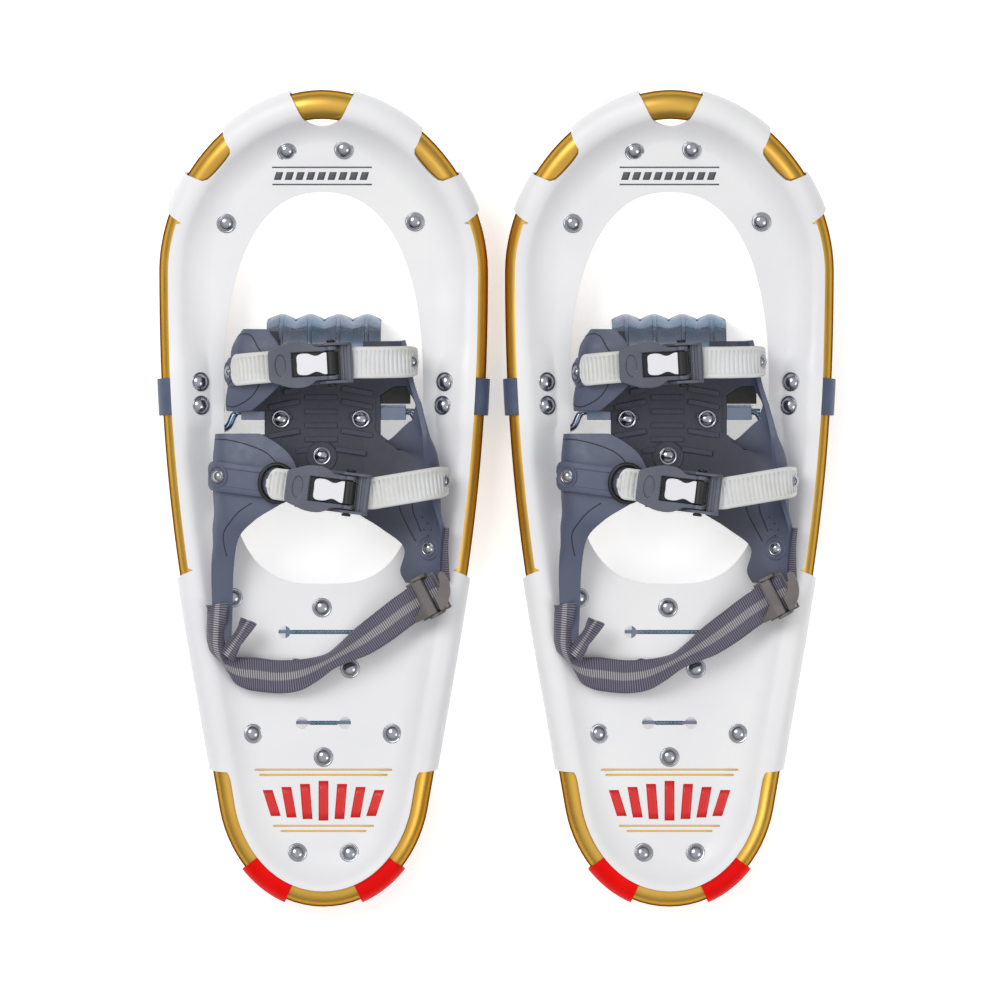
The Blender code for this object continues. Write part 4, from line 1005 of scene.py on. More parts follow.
# %% Print
INK = 0.12
INK_LIFT = 0.1
BAR_PITCH = 10.4
BAR_WIDTH = 6.4
BAR_LENGTH = 26
BAR_STEP = 3
BAR_LEAN = 1.8
BARS_Y = -210
GOLD_LINES = ((33, -214), (28, -217.4), (42, -180.6), (45, -177.2))
GOLD_WIDTH = 1.2
DASHES = 9
DASH_PITCH = 7
DASH_SIZE = (4.6, 5)
DASH_LEAN = 1.6
DASH_START = (-32, 209)
TOE_LINES = (205.6, 216.6)
TOE_LINE_X = -33
TOE_LINE_LENGTH = 65
TOE_LINE_WIDTH = 0.9


def lay_mark(bm, corners, cells=1):
    """A four-cornered film on the deck, cut into cells along its length so that it can follow a curve."""
    a, b, c, d = (Vector(corner) for corner in corners)
    rows = []
    for k in range(cells + 1):
        row = [a.lerp(b, k / cells).lerp(d.lerp(c, k / cells), i / 4) for i in range(5)]
        rows.append([on_deck(p.x, p.y)[0] + Vector((0, 0, INK_LIFT)) for p in row])
    lay_sheet(bm, rows)


def slanted(x, y, width, height, lean):
    """The corners of a bar whose top is moved sideways by lean."""
    return ((x, y), (x + width, y), (x + width + lean, y + height), (x + lean, y + height))


red_bm = bmesh.new()
for k in range(-3, 4):
    low_left = (BAR_PITCH * k - BAR_WIDTH / 2, BARS_Y + abs(k))
    lay_mark(red_bm, slanted(*low_left, BAR_WIDTH, BAR_LENGTH - BAR_STEP * abs(k), BAR_LEAN * k), 4)
finish_piece("tail_print_bars", red_bm, print_red, "shoe", wall=INK)

gold_bm = bmesh.new()
for half, y in GOLD_LINES:
    lay_mark(gold_bm, slanted(-half, y, 2 * half, GOLD_WIDTH, 0), 8)
finish_piece("tail_print_lines", gold_bm, print_gold, "shoe", wall=INK)

dark_bm = bmesh.new()
for k in range(DASHES):
    lay_mark(dark_bm, slanted(DASH_START[0] + DASH_PITCH * k, DASH_START[1], *DASH_SIZE, DASH_LEAN))
for y in TOE_LINES:
    lay_mark(dark_bm, slanted(TOE_LINE_X, y, TOE_LINE_LENGTH, TOE_LINE_WIDTH, 0), 6)
finish_piece("toe_print", dark_bm, print_dark, "shoe", wall=INK)
print("marks printed at the tail and the toe")

# %% [markdown]
# ## Bands, tabs and axle
#
# A grey band goes round the tube on each side, and its fold under the deck holds the bent end of a steel
# wire. That wire is the axle the binding turns on. At the tail two red tabs wrap the tube and are riveted
# under the deck. Bands and tabs are strips swept along the tube's line, with a wall and softened edges.

# %% Bands and tabs
FIT_GAP = 0.3
BAND_WIDTH = 24
BAND_SHEET = 2
BAND_LEAN = 22
BAND_GAP = 0.8
AXLE_Y = 58
AXLE_Z = 23.4
AXLE_RADIUS = 2.3
AXLE_LEG_X = 71
TAB_WIDTH = 30
TAB_SHEET = 1.4
TAB_GAP = 1.7
TAB_LEAN = 20
TAB_LEVEL = 1.2
TAB_REACH = 30
TAB_X = 34
AXLE_HALF = (
    (54.6, AXLE_Y), (57.2, 57.2), (59.4, 55), (60.8, 51.6), (62.6, 48.4), (65.4, 46.8), (68.4, 47.6),
    (70.4, 50.8), (AXLE_LEG_X, 56), (AXLE_LEG_X, 77.6),
)


def strip_round_tube(bm, middle, width, profile, cells):
    """A strip of this width about a distance round the tube. A profile that meets itself gives a ring."""
    rows = [around_tube(s, profile) for s in spread(middle - width / 2, middle + width / 2, cells)]
    verts = lay_sheet(bm, rows)
    if profile[0] == profile[-1]:
        bmesh.ops.remove_doubles(bm, verts=verts, dist=1e-3)


def band_profile():
    """Over the tube, under the deck, round the axle's leg and back under the tube."""
    radius = TUBE_RADIUS + BAND_GAP + BAND_SHEET / 2
    level = DECK_OVER_TUBE - DECK_SHEET / 2 - FIT_GAP - BAND_SHEET / 2
    leg = plan_at(s_where(1, BAND_Y)).x - AXLE_LEG_X
    fold = AXLE_RADIUS + 1 + BAND_SHEET / 2
    points = over_tube(radius, level, BAND_LEAN)
    points += arc((leg, AXLE_Z - TUBE_Z), fold, range(90, -91, -20))
    points += arc((0, 0), radius, range(264, 96, -12))
    return points + points[:1]


def tab_profile():
    """From under the deck over the tube, round it and back under the deck."""
    radius = TUBE_RADIUS + TAB_GAP
    points = [(TAB_REACH, TAB_LEVEL)] + over_tube(radius, TAB_LEVEL, TAB_LEAN)[::-1]
    points += arc((0, 0), radius, range(102, 270, 12))
    points += [(0, -radius), (6, -radius * 0.9), (12, -5)]
    return points + [(18, TAB_LEVEL - 2.6), (TAB_REACH, TAB_LEVEL - 1.7)]


band_middle = s_where(1, BAND_Y)
tab_middle = s_where(1, TAIL_Y - 20)
while plan_at(tab_middle).x > TAB_X:
    tab_middle += 0.5
for side, word in ((-1, "buckle_side"), (1, "ladder_side")):
    bm = bmesh.new()
    strip_round_tube(bm, band_middle if side > 0 else ROUND - band_middle, BAND_WIDTH, band_profile(), 6)
    nodes = ["pivot_band_" + word]
    finish_piece("band_" + word, bm, band_grey, "shoe", nodes, wall=BAND_SHEET, bevel=0.5)
    bm = bmesh.new()
    strip_round_tube(bm, tab_middle if side > 0 else ROUND - tab_middle, TAB_WIDTH, tab_profile(), 8)
    nodes = ["tail_tab_" + word]
    finish_piece("tab_" + word, bm, tab_red, "shoe", nodes, wall=TAB_SHEET, bevel=0.4)

axle = [(-x, y, AXLE_Z) for x, y in reversed(AXLE_HALF)] + [(0, AXLE_Y, AXLE_Z)]
axle += [(x, y, AXLE_Z) for x, y in AXLE_HALF]
bm = bmesh.new()
tube_along(bm, smooth_path(axle, 1.5), AXLE_RADIUS, 14)
finish_piece("axle_wire", bm, zinc, "shoe", ["pivot_axle"])
print("bands, tabs and axle drawn")

# %% [markdown]
# ## Heel crampon
#
# Two toothed steel blades stand under the heel on a riveted plate. Their top ridges show in the deck's
# slots, pressed into a fine row of beads. The blades are flat blanks, stood on edge.

# %% Heel crampon
PLATE = ((-24, -63), (24, -63), (26, -118), (9, -124), (9, -176), (-9, -176), (-9, -124), (-26, -118))
STEEL = 2
TOOTH = 9
TOOTH_FLAT = 1.2
BLADE_HALVES = (34, 24)
BLADE_TEETH = (4, 3)
RIDGE_INSET = 9
RIDGE_Z = DECK_Z + 0.4
PLATE_TOP = DECK_Z - DECK_SHEET / 2 - FIT_GAP
BEAD_PITCH = 2.4
BEAD_RADIUS = 0.9
BEAD_SHAPE = (1, 1.1, 0.6)
BEAD_LIFT = 0.05
STAND_UP = Matrix.Rotation(math.pi / 2, 4, "X")


def blade_outline(half, teeth, ridge):
    """A blade with this many teeth below and a ridge of this half length above."""
    top = PLATE_TOP - STEEL / 2
    points = [(-half, top), (-half, TOOTH)]
    for k in range(teeth):
        middle = half * ((2 * k + 1) / teeth - 1)
        valley = half * ((2 * k + 2) / teeth - 1)
        points += [(middle - TOOTH_FLAT, 0), (middle + TOOTH_FLAT, 0), (valley, TOOTH)]
    return points + [(half, top), (ridge, top), (ridge, RIDGE_Z), (-ridge, RIDGE_Z), (-ridge, top)]


bm = bmesh.new()
lay_blank(bm, PLATE, STEEL, Matrix.Translation((0, 0, PLATE_TOP - STEEL)))
for (y, length, _), half, teeth in zip(SLOTS, BLADE_HALVES, BLADE_TEETH):
    outline = blade_outline(half, teeth, length / 2 - RIDGE_INSET)
    lay_blank(bm, outline, STEEL, Matrix.Translation((0, y + STEEL / 2, 0)) @ STAND_UP)
finish_piece("heel_blades", bm, zinc, "shoe", ["heel_crampon"], bevel=0.3)

bm = bmesh.new()
for y, length, _ in SLOTS:
    count = round((length - 2 * RIDGE_INSET - 2) / BEAD_PITCH)
    for k in range(count):
        x = (k - (count - 1) / 2) * BEAD_PITCH
        made = bmesh.ops.create_uvsphere(bm, u_segments=8, v_segments=6, radius=BEAD_RADIUS)["verts"]
        bmesh.ops.scale(bm, vec=BEAD_SHAPE, verts=made)
        bmesh.ops.translate(bm, vec=(x, y, RIDGE_Z + BEAD_LIFT), verts=made)
finish_piece("blade_beads", bm, teal_zinc, "shoe")
print("two blades on each heel")

# %% [markdown]
# ## Toe crampon
#
# This is one pressed sheet of steel: a plate under the bed, bent down into a row of claws in front and a
# smaller one behind. A rib is pressed into each claw and runs over the bend to stiffen it. The sheet is a
# grid whose columns rise into the ribs, and its ends are cut in waves. Two rolled knuckles hold it on the
# axle.

# %% Toe crampon
CLAWS = 4
CLAW_HALF = 37.5
COLUMNS = 160
KNUCKLE_RADIUS = 4.7
KNUCKLE_BORE = 2.6
KNUCKLE_LENGTH = 28
KNUCKLE_X = 26
KNUCKLE_SINK = 0.6
EAR_YS = (-5.5, 3)
EAR_LIFT = 4.2
EAR_SHEET = 1.6
PLATE_Z = AXLE_Z + KNUCKLE_RADIUS - KNUCKLE_SINK + STEEL / 2
REAR_TIP_Y = 15
REAR_BEND_Y = 20
PLATE_ROWS = (34, 50, 66, 82)
FRONT_BEND = ((94, 1), (98, 1), (101, 0.99), (103.2, 0.965), (105, 0.925))
RIB_START_Y = 92
RIB_RUN = 13
RIB_RISE = 1.4
RIB_SHARE = 0.04
TIP_SHARE = 0.2
TIP_BACK = 3.4
TIP_FLOOR = 0.6


def claw_column(x):
    """One column of the sheet, from the rear claw's tip over the plate to the front claw's tip."""
    phase = (x / CLAW_HALF + 1) / 2 * CLAWS % 1
    notch = clamped((abs(2 * phase - 1) - TIP_SHARE) / (1 - TIP_SHARE))
    pressed = RIB_RISE * math.exp(-((phase - 0.5) / RIB_SHARE) ** 4)
    share = (TIP_FLOOR + TOOTH * notch) / PLATE_Z
    lean = Vector((0, REAR_BEND_Y - REAR_TIP_Y, -1)).normalized().z * pressed * 0.6
    column = []
    for t in (share, 0.35 + share * 0.65, 0.65, 0.85):
        column.append(Vector((x, REAR_TIP_Y + (REAR_BEND_Y - REAR_TIP_Y) * t + lean, PLATE_Z * t)))
    for y in (REAR_BEND_Y + 1.5, *PLATE_ROWS):
        column.append(Vector((x, y, PLATE_Z)))
    for y, level in FRONT_BEND:
        column.append(Vector((x, y, PLATE_Z * level + pressed * (y - RIB_START_Y) / RIB_RUN)))
    front = (
        (0.84, 110.5, 0), (0.7, 115, 0.3), (0.52, 118.5, 0.7), (max(0.36, share), 120.5, 1),
        (share, 121.8, 1),
    )
    for t, y, part in front:
        out = pressed * (0.85 - 0.7 * part) - TIP_BACK * notch * part
        column.append(Vector((x, y + out, PLATE_Z * t + pressed * 0.5)))
    return column


bm = bmesh.new()
lay_sheet(bm, [claw_column(x) for x in spread(-CLAW_HALF, CLAW_HALF, COLUMNS)])
finish_piece("claw_sheet", bm, zinc, "binding", ["toe_crampon"], wall=STEEL, bevel=0.3)

bm = bmesh.new()
knuckle = (
    (KNUCKLE_BORE, 0), (KNUCKLE_RADIUS, 0), (KNUCKLE_RADIUS, KNUCKLE_LENGTH),
    (KNUCKLE_BORE, KNUCKLE_LENGTH),
)
low, high = EAR_YS
ear = ((0, low), (KNUCKLE_LENGTH, low), (KNUCKLE_LENGTH, high), (0, high))
for side in (-1, 1):
    turn = Matrix.Rotation(side * math.pi / 2, 4, "Y")
    spin_profile(bm, knuckle, Matrix.Translation((side * KNUCKLE_X, AXLE_Y, AXLE_Z)) @ turn, 24)
for x in (-KNUCKLE_X - KNUCKLE_LENGTH, KNUCKLE_X):
    lay_blank(bm, ear, EAR_SHEET, Matrix.Translation((x, AXLE_Y, AXLE_Z + EAR_LIFT)))
finish_piece("claw_knuckles", bm, zinc, "binding", bevel=0.4)
print(CLAWS, "claws on each toe crampon")

# %% [markdown]
# ## Harness
#
# The harness is one nylon moulding: a flat bed with wings on the buckle side and a wall on the ladder
# side. The wings are drawn as sections from toe to heel, each a row of (x, z) points from the bed
# outwards and up. A smooth curve is run through the points of every section, and then from section to
# section, so that a few measured points give a soft moulded sheet. A third number moves a point along the
# shoe. The wall's window is a block of cells left hollow, and its edges follow such moved points. A thin
# black sheet fills the window's front: it is painted shade, standing for the dark gap seen there.

# %% Harness bed and wings
BED_BOTTOM = 29.8
BED_TOP = 33.8
WALL = 3
BED_OUTLINE = (
    (-34, 100), (35, 100), (37.5, 84), (37.5, 40), (31, 15), (8, 9), (-14, 14), (-30, 22), (-38.5, 40),
    (-38.5, 84),
)
TOE_WING = (
    (111, (-30, 33), (-40, 34), (-46, 38), (-50, 44), (-50, 50), (-46, 54), (-36, 57.5)),
    (101, (-28, 32.5), (-45, 33.5), (-53, 38), (-57, 45), (-55.5, 51.5), (-49, 57), (-28, 61.5)),
    (90, (-28, 32.5), (-47, 33.5), (-54.5, 38), (-59, 45), (-56.5, 52.5), (-48, 58.5), (-24, 62.6)),
    (76, (-28, 32.5), (-47, 33.5), (-55, 38), (-60, 45), (-58, 52.5), (-49, 58.5), (-27, 62.3)),
    (66, (-28, 32.5), (-47, 33.5), (-56, 38), (-61.5, 44.5), (-60, 51), (-52, 56), (-36, 60)),
    (58, (-30, 32.7), (-46, 33.7), (-55, 38), (-61, 44), (-60.5, 48.5), (-56, 52), (-46, 55)),
)
HEEL_WING = (
    (43, (-28, 32.7), (-54, 34.7), (-63, 40), (-67.5, 48), (-67.5, 56), (-60, 61), (-40, 64.5)),
    (36, (-28, 32.6), (-54, 34.7), (-63.5, 40), (-68, 48), (-68, 56.5), (-58, 62.5), (-28, 67)),
    (27, (-28, 32.5), (-54, 34.7), (-64, 40), (-69, 48.5), (-68.5, 57), (-57, 64), (-19, 69)),
    (14, (-26, 32.5), (-54, 35), (-64, 40), (-69.5, 49), (-68, 57.5), (-57, 64.5), (-15, 70)),
    (2, (-38, 34), (-56, 36), (-65, 41), (-69.5, 48.5), (-68, 56.5), (-58, 63.5), (-20, 69)),
    (-12, (-66, 42), (-68, 45), (-69.5, 48.5), (-69, 53), (-66, 57.5), (-59, 62), (-42, 65.5)),
    (-24, (-69, 45.5), (-70, 48), (-70, 50.5), (-68.5, 53), (-66, 55), (-62, 56.5), (-54, 57.5)),
    (-45, (-72, 46), (-70, 47), (-67.5, 48), (-65, 48.5), (-62, 49), (-60, 49), (-58, 49)),
    (-70, (-72, 42.6), (-70, 42.8), (-67.5, 43), (-65, 43), (-63, 43), (-61, 43), (-59, 42.8)),
    (-92, (-71, 40.6), (-69.5, 40.7), (-68, 40.8), (-66, 40.8), (-64, 40.8), (-62, 40.8), (-60, 40.6)),
)
SIDE_WALL = (
    (104, (26, 32.5), (38, 33), (45, 35), (49.5, 39), (52, 44), (52.5, 49)),
    (92, (26, 32.5), (38, 33), (47, 35.5), (53, 40), (55.3, 45), (55.5, 50)),
    (77, (26, 32.5), (34.5, 33, -9), (46, 35, -3), (55.5, 39.5, -2), (57.8, 45), (58, 51)),
    (60, (26, 32.5), (34.5, 33, -4), (48, 35), (61.4, 41, 3), (63.4, 47), (63, 52)),
    (43, (26, 32.5), (34.8, 33.2, 1), (42.5, 34, -4), (60, 40.5, 10), (68, 47.5), (66.5, 54)),
    (30, (26, 32.5), (48, 34), (62, 37), (71, 43), (73, 50.5), (67, 57)),
    (13, (26, 32.5), (50, 34.5), (64, 37.5), (73, 44), (75.5, 51.5), (70, 58.5)),
    (-4, (18, 33), (46, 34.5), (62, 38), (71, 43.5), (75.5, 50), (74, 57)),
    (-18, (37, 34.5), (52, 35.5), (64, 38.5), (71, 42.5), (75.5, 47), (78, 52)),
    (-31, (53, 36.6), (59, 37.4), (66, 39.2), (71.5, 42), (75.5, 44.8), (78, 48)),
    (-46, (50.5, 36.6), (57, 37.2), (64, 38.4), (70, 40), (74, 41.6), (77, 43)),
    (-54, (54, 36.8), (59, 37.4), (65, 38.4), (69.5, 39.4), (73, 40.4), (75.5, 41.2)),
)
FINE = 5
WINDOW_ROWS = range(2 * FINE, 4 * FINE)
WINDOW_COLUMNS = range(1 * FINE, 3 * FINE)
WINDOW_SHADE_OUTLINE = ((34, 63), (57, 63), (57, 73), (55, 78), (46, 77), (34, 71))
SHADE_SHEET = 1.4


def wing_at(sections, along, across):
    """A place on a wing: along counts sections and across counts the points of a section."""
    crossed = []
    for y, *points in sections:
        crossed.append(spline_at([Vector((x, y + sum(shift), z)) for x, z, *shift in points], across))
    return spline_at(crossed, along)


def wing_out(sections, along, across, step=0.05):
    """The direction out of a wing's inner face."""
    run = wing_at(sections, along + step, across) - wing_at(sections, along - step, across)
    side = wing_at(sections, along, across + step) - wing_at(sections, along, across - step)
    out = run.cross(side).normalized()
    return out if out.z > 0 else -out


bed_bm = blank_for(BED_OUTLINE, BED_BOTTOM, BED_TOP)
finish_piece("bed", bed_bm, harness_grey, "binding", ["harness"], bevel=1)
window = {(row, column) for row in WINDOW_ROWS for column in WINDOW_COLUMNS}
wings = {"toe_wing": (TOE_WING, ()), "heel_wing": (HEEL_WING, ()), "side_wall": (SIDE_WALL, window)}
for word, (sections, hollow) in wings.items():
    columns = (len(sections[0]) - 2) * FINE
    rows = []
    for i in range((len(sections) - 1) * FINE + 1):
        rows.append([wing_at(sections, i / FINE, k / FINE) for k in range(columns + 1)])
    bm = bmesh.new()
    lay_sheet(bm, rows, hollow=hollow)
    finish_piece(
        word, bm, harness_grey, "binding", wall=WALL, bevel=0.9, segments=3
    )
# Painted shade: a black sheet fills the window's front, where a dark gap shows.
shade_sheet_bottom = BED_BOTTOM + 0.1
shade_sheet_bm = blank_for(WINDOW_SHADE_OUTLINE, shade_sheet_bottom, shade_sheet_bottom + SHADE_SHEET)
finish_piece("window_shade_sheet", shade_sheet_bm, black_rubber_and_shade, "binding", bevel=0.3)
print("bed, wings and wall drawn")

# %% [markdown]
# Moulded grooves run beside the wings' edges. Each is drawn as a thin bead in a dark colour, which is
# painted shade for the groove, laid on the surface at places counted in sections and points. Round bosses
# carry the rivets that hold the straps, and a few small vent dimples sit above the heel lug, also dark with
# painted shade.

# %% Moulded lines, bosses and dimples
LINES = (
    (TOE_WING, ((2.2, 5.6), (1.4, 5.4), (0.5, 5.1), (0.5, 4), (0.7, 3))),
    (TOE_WING, ((3, 5.4), (4, 5.3), (4.5, 4.8), (4.5, 4), (4.2, 3))),
    (HEEL_WING, ((0.7, 3), (0.6, 4), (0.7, 5), (1.4, 5.5), (2.6, 5.7))),
    (HEEL_WING, ((4.3, 5.4), (5.2, 5), (6, 4.6), (6.6, 4.5))),
    (SIDE_WALL, ((7, 1.2), (8, 1.3), (8.7, 1.4))),
    (SIDE_WALL, ((6.6, 1.7), (7.4, 1.8), (8.2, 2))),
)
LINE_RADIUS = 0.4
LINE_STEP = 0.12
LINE_SINK = 0.1
DIMPLES = ((7.5, 2.3), (7.8, 2.7), (8.1, 2.3), (8.1, 3.1), (8.4, 2.7), (8.6, 2.2), (8.6, 3.2))
DIMPLE = ((0, 0.15), (0.5, 0.1), (0.6, 0), (0, -0.2))
BOSS = ((0, 0.9), (4.6, 0.9), (5, 0), (6.2, 0), (6.6, 0.9), (7.4, 0.9), (8, 0.3), (8, -0.8), (0, -0.8))
BOSS_SIZE = 0.95
LUG_STUD = (9.05, 2.6)
ARM_STUDS = (((-67.2, 15.4, 64.4), (-0.55, 0, 0.84)), ((-60.6, 83.2, 52.6), (-0.93, 0, 0.36)))


def set_boss(bm, place, normal):
    """A round boss with a groove, which carries a rivet."""
    spin_profile(bm, BOSS, Matrix.Translation(place) @ lean_to(normal) @ Matrix.Scale(BOSS_SIZE, 4), 28)


bm = bmesh.new()
for sections, marks in LINES:
    path = []
    for along, across, _ in smooth_path([(a, b, 0) for a, b in marks], LINE_STEP):
        out = wing_out(sections, along, across)
        path.append(wing_at(sections, along, across) + out * (WALL / 2 - LINE_SINK))
    tube_along(bm, path, LINE_RADIUS, 6)
for along, across in DIMPLES:
    out = wing_out(SIDE_WALL, along, across)
    spot = Matrix.Translation(wing_at(SIDE_WALL, along, across) + out * WALL / 2) @ lean_to(out)
    spin_profile(bm, DIMPLE, spot, 10)
# The grooves and dimples take a dark colour as painted shade.
finish_piece("moulded_lines", bm, groove_shade_dark, "binding")

lug_out = wing_out(SIDE_WALL, *LUG_STUD)
lug_top = wing_at(SIDE_WALL, *LUG_STUD) + lug_out * WALL / 2
bm = bmesh.new()
set_boss(bm, lug_top, lug_out)
for place, normal in ARM_STUDS:
    set_boss(bm, Vector(place) + Vector(normal) * 0.6, normal)
finish_piece("stud_bosses", bm, harness_grey, "binding")
print(len(LINES), "moulded lines and", len(DIMPLES), "dimples on each harness")

# %% [markdown]
# The bed's top carries raised bars that grip the boot. Each is a short block between two points. Rivets
# through the bed hold the claws underneath, the rear one in a round boss.

# %% Bed bars, boss and rivets
BED_BARS = (
    (-12.3, 67.2, 9.3, 67.2), (-12.3, 57.9, 9.3, 57.9), (-12.3, 48.8, 9.3, 48.8), (-12.3, 39.7, 9.3, 39.7),
    (-36, 60.6, -15.4, 64.6), (-34, 51.4, -20.5, 54.6), (-36, 41.6, -15.4, 45.2), (-26, 70.4, -15.4, 72.4),
    (12, 73, 32.4, 69.4), (12, 64.6, 32.4, 60.6), (17.5, 55, 31.4, 52), (12, 45.4, 32.4, 42.2),
    (8, 33.4, 28, 30.4), (-18, 32, -9.5, 32.8),
)
BAR_GRIP_WIDTH = 3.4
OUTER_BAR = 2
MIDDLE_BAR = 1.2
BAR_SINK = 0.3
FRONT_RIVETS = ((-27.8, 53), (24.6, 53))
REAR_RIVET = (-1, 28.8)
REAR_BOSS = ((0, 0), (9.4, 0), (10, 0.6), (10.4, -0.8), (0, -0.8))
BED_RIVET_SIZE = 0.92
STUD_SIZE = 0.72
LUG_STUD_SIZE = 0.7


def lay_bar(bm, start, end, width, height):
    """A block that runs between two points, from their level up."""
    along = (end - start).normalized()
    side = Vector((-along.y, along.x, 0)).normalized() * width / 2
    corners = [(p - start).xy for p in (start - side, end - side, end + side, start + side)]
    lay_blank(bm, corners, height, Matrix.Translation(start))


bm = bmesh.new()
for x0, y0, x1, y1 in BED_BARS:
    tall = OUTER_BAR if max(abs(x0), abs(x1)) > 20 else MIDDLE_BAR
    start = Vector((x0, y0, BED_TOP - BAR_SINK))
    lay_bar(bm, start, Vector((x1, y1, BED_TOP - BAR_SINK)), BAR_GRIP_WIDTH, tall)
spin_profile(bm, REAR_BOSS, Matrix.Translation((*REAR_RIVET, BED_TOP + 0.4)), 28)
finish_piece("bed_bars", bm, harness_grey, "binding", bevel=0.5)

bm = bmesh.new()
for x, y in FRONT_RIVETS:
    set_rivet(bm, (x, y, BED_TOP + 1.1), size=BED_RIVET_SIZE)
set_rivet(bm, (*REAR_RIVET, BED_TOP + 0.2), size=BED_RIVET_SIZE)
set_rivet(bm, lug_top + lug_out * 0.5, lug_out, LUG_STUD_SIZE)
for place, normal in ARM_STUDS:
    set_rivet(bm, Vector(place) + Vector(normal) * 1.1, normal, STUD_SIZE)
finish_piece("bed_rivets", bm, nickel, "binding")
print(len(BED_BARS), "bars on each bed")

# %% [markdown]
# ## Straps
#
# Two straps hold the boot. Each is a grey arm that carries a ratchet buckle and a pale ladder strap that
# runs through it. A ladder's ribs are saw teeth 3 mm apart between two plain edges, so the strap's rows
# lie half a millimetre apart and the teeth come from raising the middle of each row.

# %% Straps
ARM_WIDTH = 18
ARM_SHEET = 2.2
ARM_ENDS = (9, 1)
LADDER_WIDTH = 20.5
LADDER_SHEET = 2
LADDER_ENDS = (26, 6)
TOOTH_PITCH = 3
TOOTH_LIFT = 0.75
TOOTH_FALL = 0.7
TOOTH_SINK = 0.2
TEETH_SHARE = 0.385
EDGE_LIFT = 0.35
BORDER_SHARES = (0.34, 0.47)
BORDER_LIFT = 0.5
NARROWEST = 0.05
STUD_INSET = 15
TOE_ARM = (
    (-61.2, 82.5, 43), (-61, 82.8, 47), (-58.4, 83.4, 54.8), (-50.2, 84.5, 61.5), (-40, 85.6, 64.8),
    (-27.5, 86.6, 66.8), (-20, 87.1, 67), (0, 88.1, 67),
)
TOE_LADDER = (
    (60.7, 90.5, 40), (60.7, 90.4, 47), (59.6, 90.2, 54), (54, 89.8, 62), (45, 89.4, 67.6),
    (34, 89.1, 71.2), (22, 89, 72.3), (6, 88.4, 72.3), (-10, 87.6, 72.3), (-27, 86.7, 72.3),
    (-37, 85.9, 71.4), (-46, 85.2, 68.6), (-53.5, 84.5, 64.6), (-58.6, 84, 59.6),
)
INSTEP_ARM = (
    (-73, 16, 54), (-72.6, 15.9, 57), (-70.8, 15.7, 60.6), (-66.5, 15.2, 64.2), (-59.6, 14.3, 67.8),
    (-45, 12.4, 70.5), (-30, 10.5, 72.3), (-16, 8.8, 73), (8, 5.8, 73),
)
INSTEP_LADDER = (
    (80.8, 12.6, 44), (81, 12.6, 51), (80, 12.2, 58.5), (74.5, 11.2, 66.5), (64, 9.4, 72.6), (50, 7, 76.6),
    (38, 5, 78), (32, 4.2, 78.4), (18, 4.6, 78.4), (0, 6.8, 78.4), (-16, 8.8, 78.4), (-26, 10, 78.3),
    (-35, 11.1, 77.8),
)
LADDER_SHARES = (-0.5, -0.42, -0.39, -0.38, -0.13, 0.13, 0.38, 0.39, 0.42, 0.5)
ARM_SHARES = (-0.5, -0.45, -0.36, -0.32, -0.1, 0.1, 0.32, 0.36, 0.45, 0.5)


def saw_teeth(share, gone):
    """The height of a ladder's middle, which rises slowly and falls fast, and of its plain edges."""
    phase = gone / TOOTH_PITCH % 1
    tooth = phase / TOOTH_FALL if phase < TOOTH_FALL else (1 - phase) / (1 - TOOTH_FALL)
    return TOOTH_LIFT * tooth - TOOTH_SINK if abs(share) <= TEETH_SHARE else EDGE_LIFT


def arm_edges(share, gone):
    """The height of an arm's two raised borders."""
    return BORDER_LIFT if BORDER_SHARES[0] < abs(share) < BORDER_SHARES[1] else 0


def draw_strap(bm, points, across, shares, lift, step, ends):
    """A strap along a curve through the points. ends are the rounding radii of its first and last end."""
    path = smooth_path(points, step)
    gone = [0]
    for here, there in zip(path, path[1:]):
        gone.append(gone[-1] + (there - here).length)
    sides = []
    for near in gone:
        share = 1
        for distance, radius in ((near, ends[0]), (gone[-1] - near, ends[1])):
            if distance < radius:
                share = min(share, math.sqrt(max(NARROWEST, 1 - (1 - distance / radius) ** 2)))
        sides.append(Vector(across) * share)
    lay_sheet(bm, strap_rows(path, sides, shares, lift))


def stud_strap(bm, points):
    """A rivet head on the outer face of a ladder strap, near its first end."""
    path = smooth_path(points, 1)
    along = (path[STUD_INSET + 3] - path[STUD_INSET - 3]).normalized()
    up = Vector((0, 1, 0)).cross(along)
    set_rivet(bm, path[STUD_INSET] + up * LADDER_SHEET / 2, up, STUD_SIZE)


stud_bm = bmesh.new()
for word, arm, ladder in (("toe", TOE_ARM, TOE_LADDER), ("instep", INSTEP_ARM, INSTEP_LADDER)):
    bm = bmesh.new()
    draw_strap(bm, arm, (0, -ARM_WIDTH, 0), ARM_SHARES, arm_edges, 1, ARM_ENDS)
    nodes = [word + "_strap_arm"]
    finish_piece(
        word + "_arm", bm, harness_grey, "binding", nodes, wall=ARM_SHEET, bevel=0.4
    )
    bm = bmesh.new()
    draw_strap(bm, ladder, (0, LADDER_WIDTH, 0), LADDER_SHARES, saw_teeth, 0.5, LADDER_ENDS)
    nodes = [word + "_ladder_strap"]
    finish_piece(word + "_ladder", bm, ladder_white, "binding", nodes, wall=LADDER_SHEET)
    stud_strap(stud_bm, ladder)
finish_piece("strap_studs", stud_bm, nickel, "binding")
print("ladder teeth every", TOOTH_PITCH, "mm")

# %% [markdown]
# ## Ratchet buckles
#
# Each buckle is drawn once on its own axes, with the pin along Y through the origin and the strap along
# X. The base is a floor between two cheeks. The lever has an open window and an oval thumb recess near
# its tip. In the window sits the white release tab. Lever and tab turn on the pin, so they ride on bodies
# of their own.

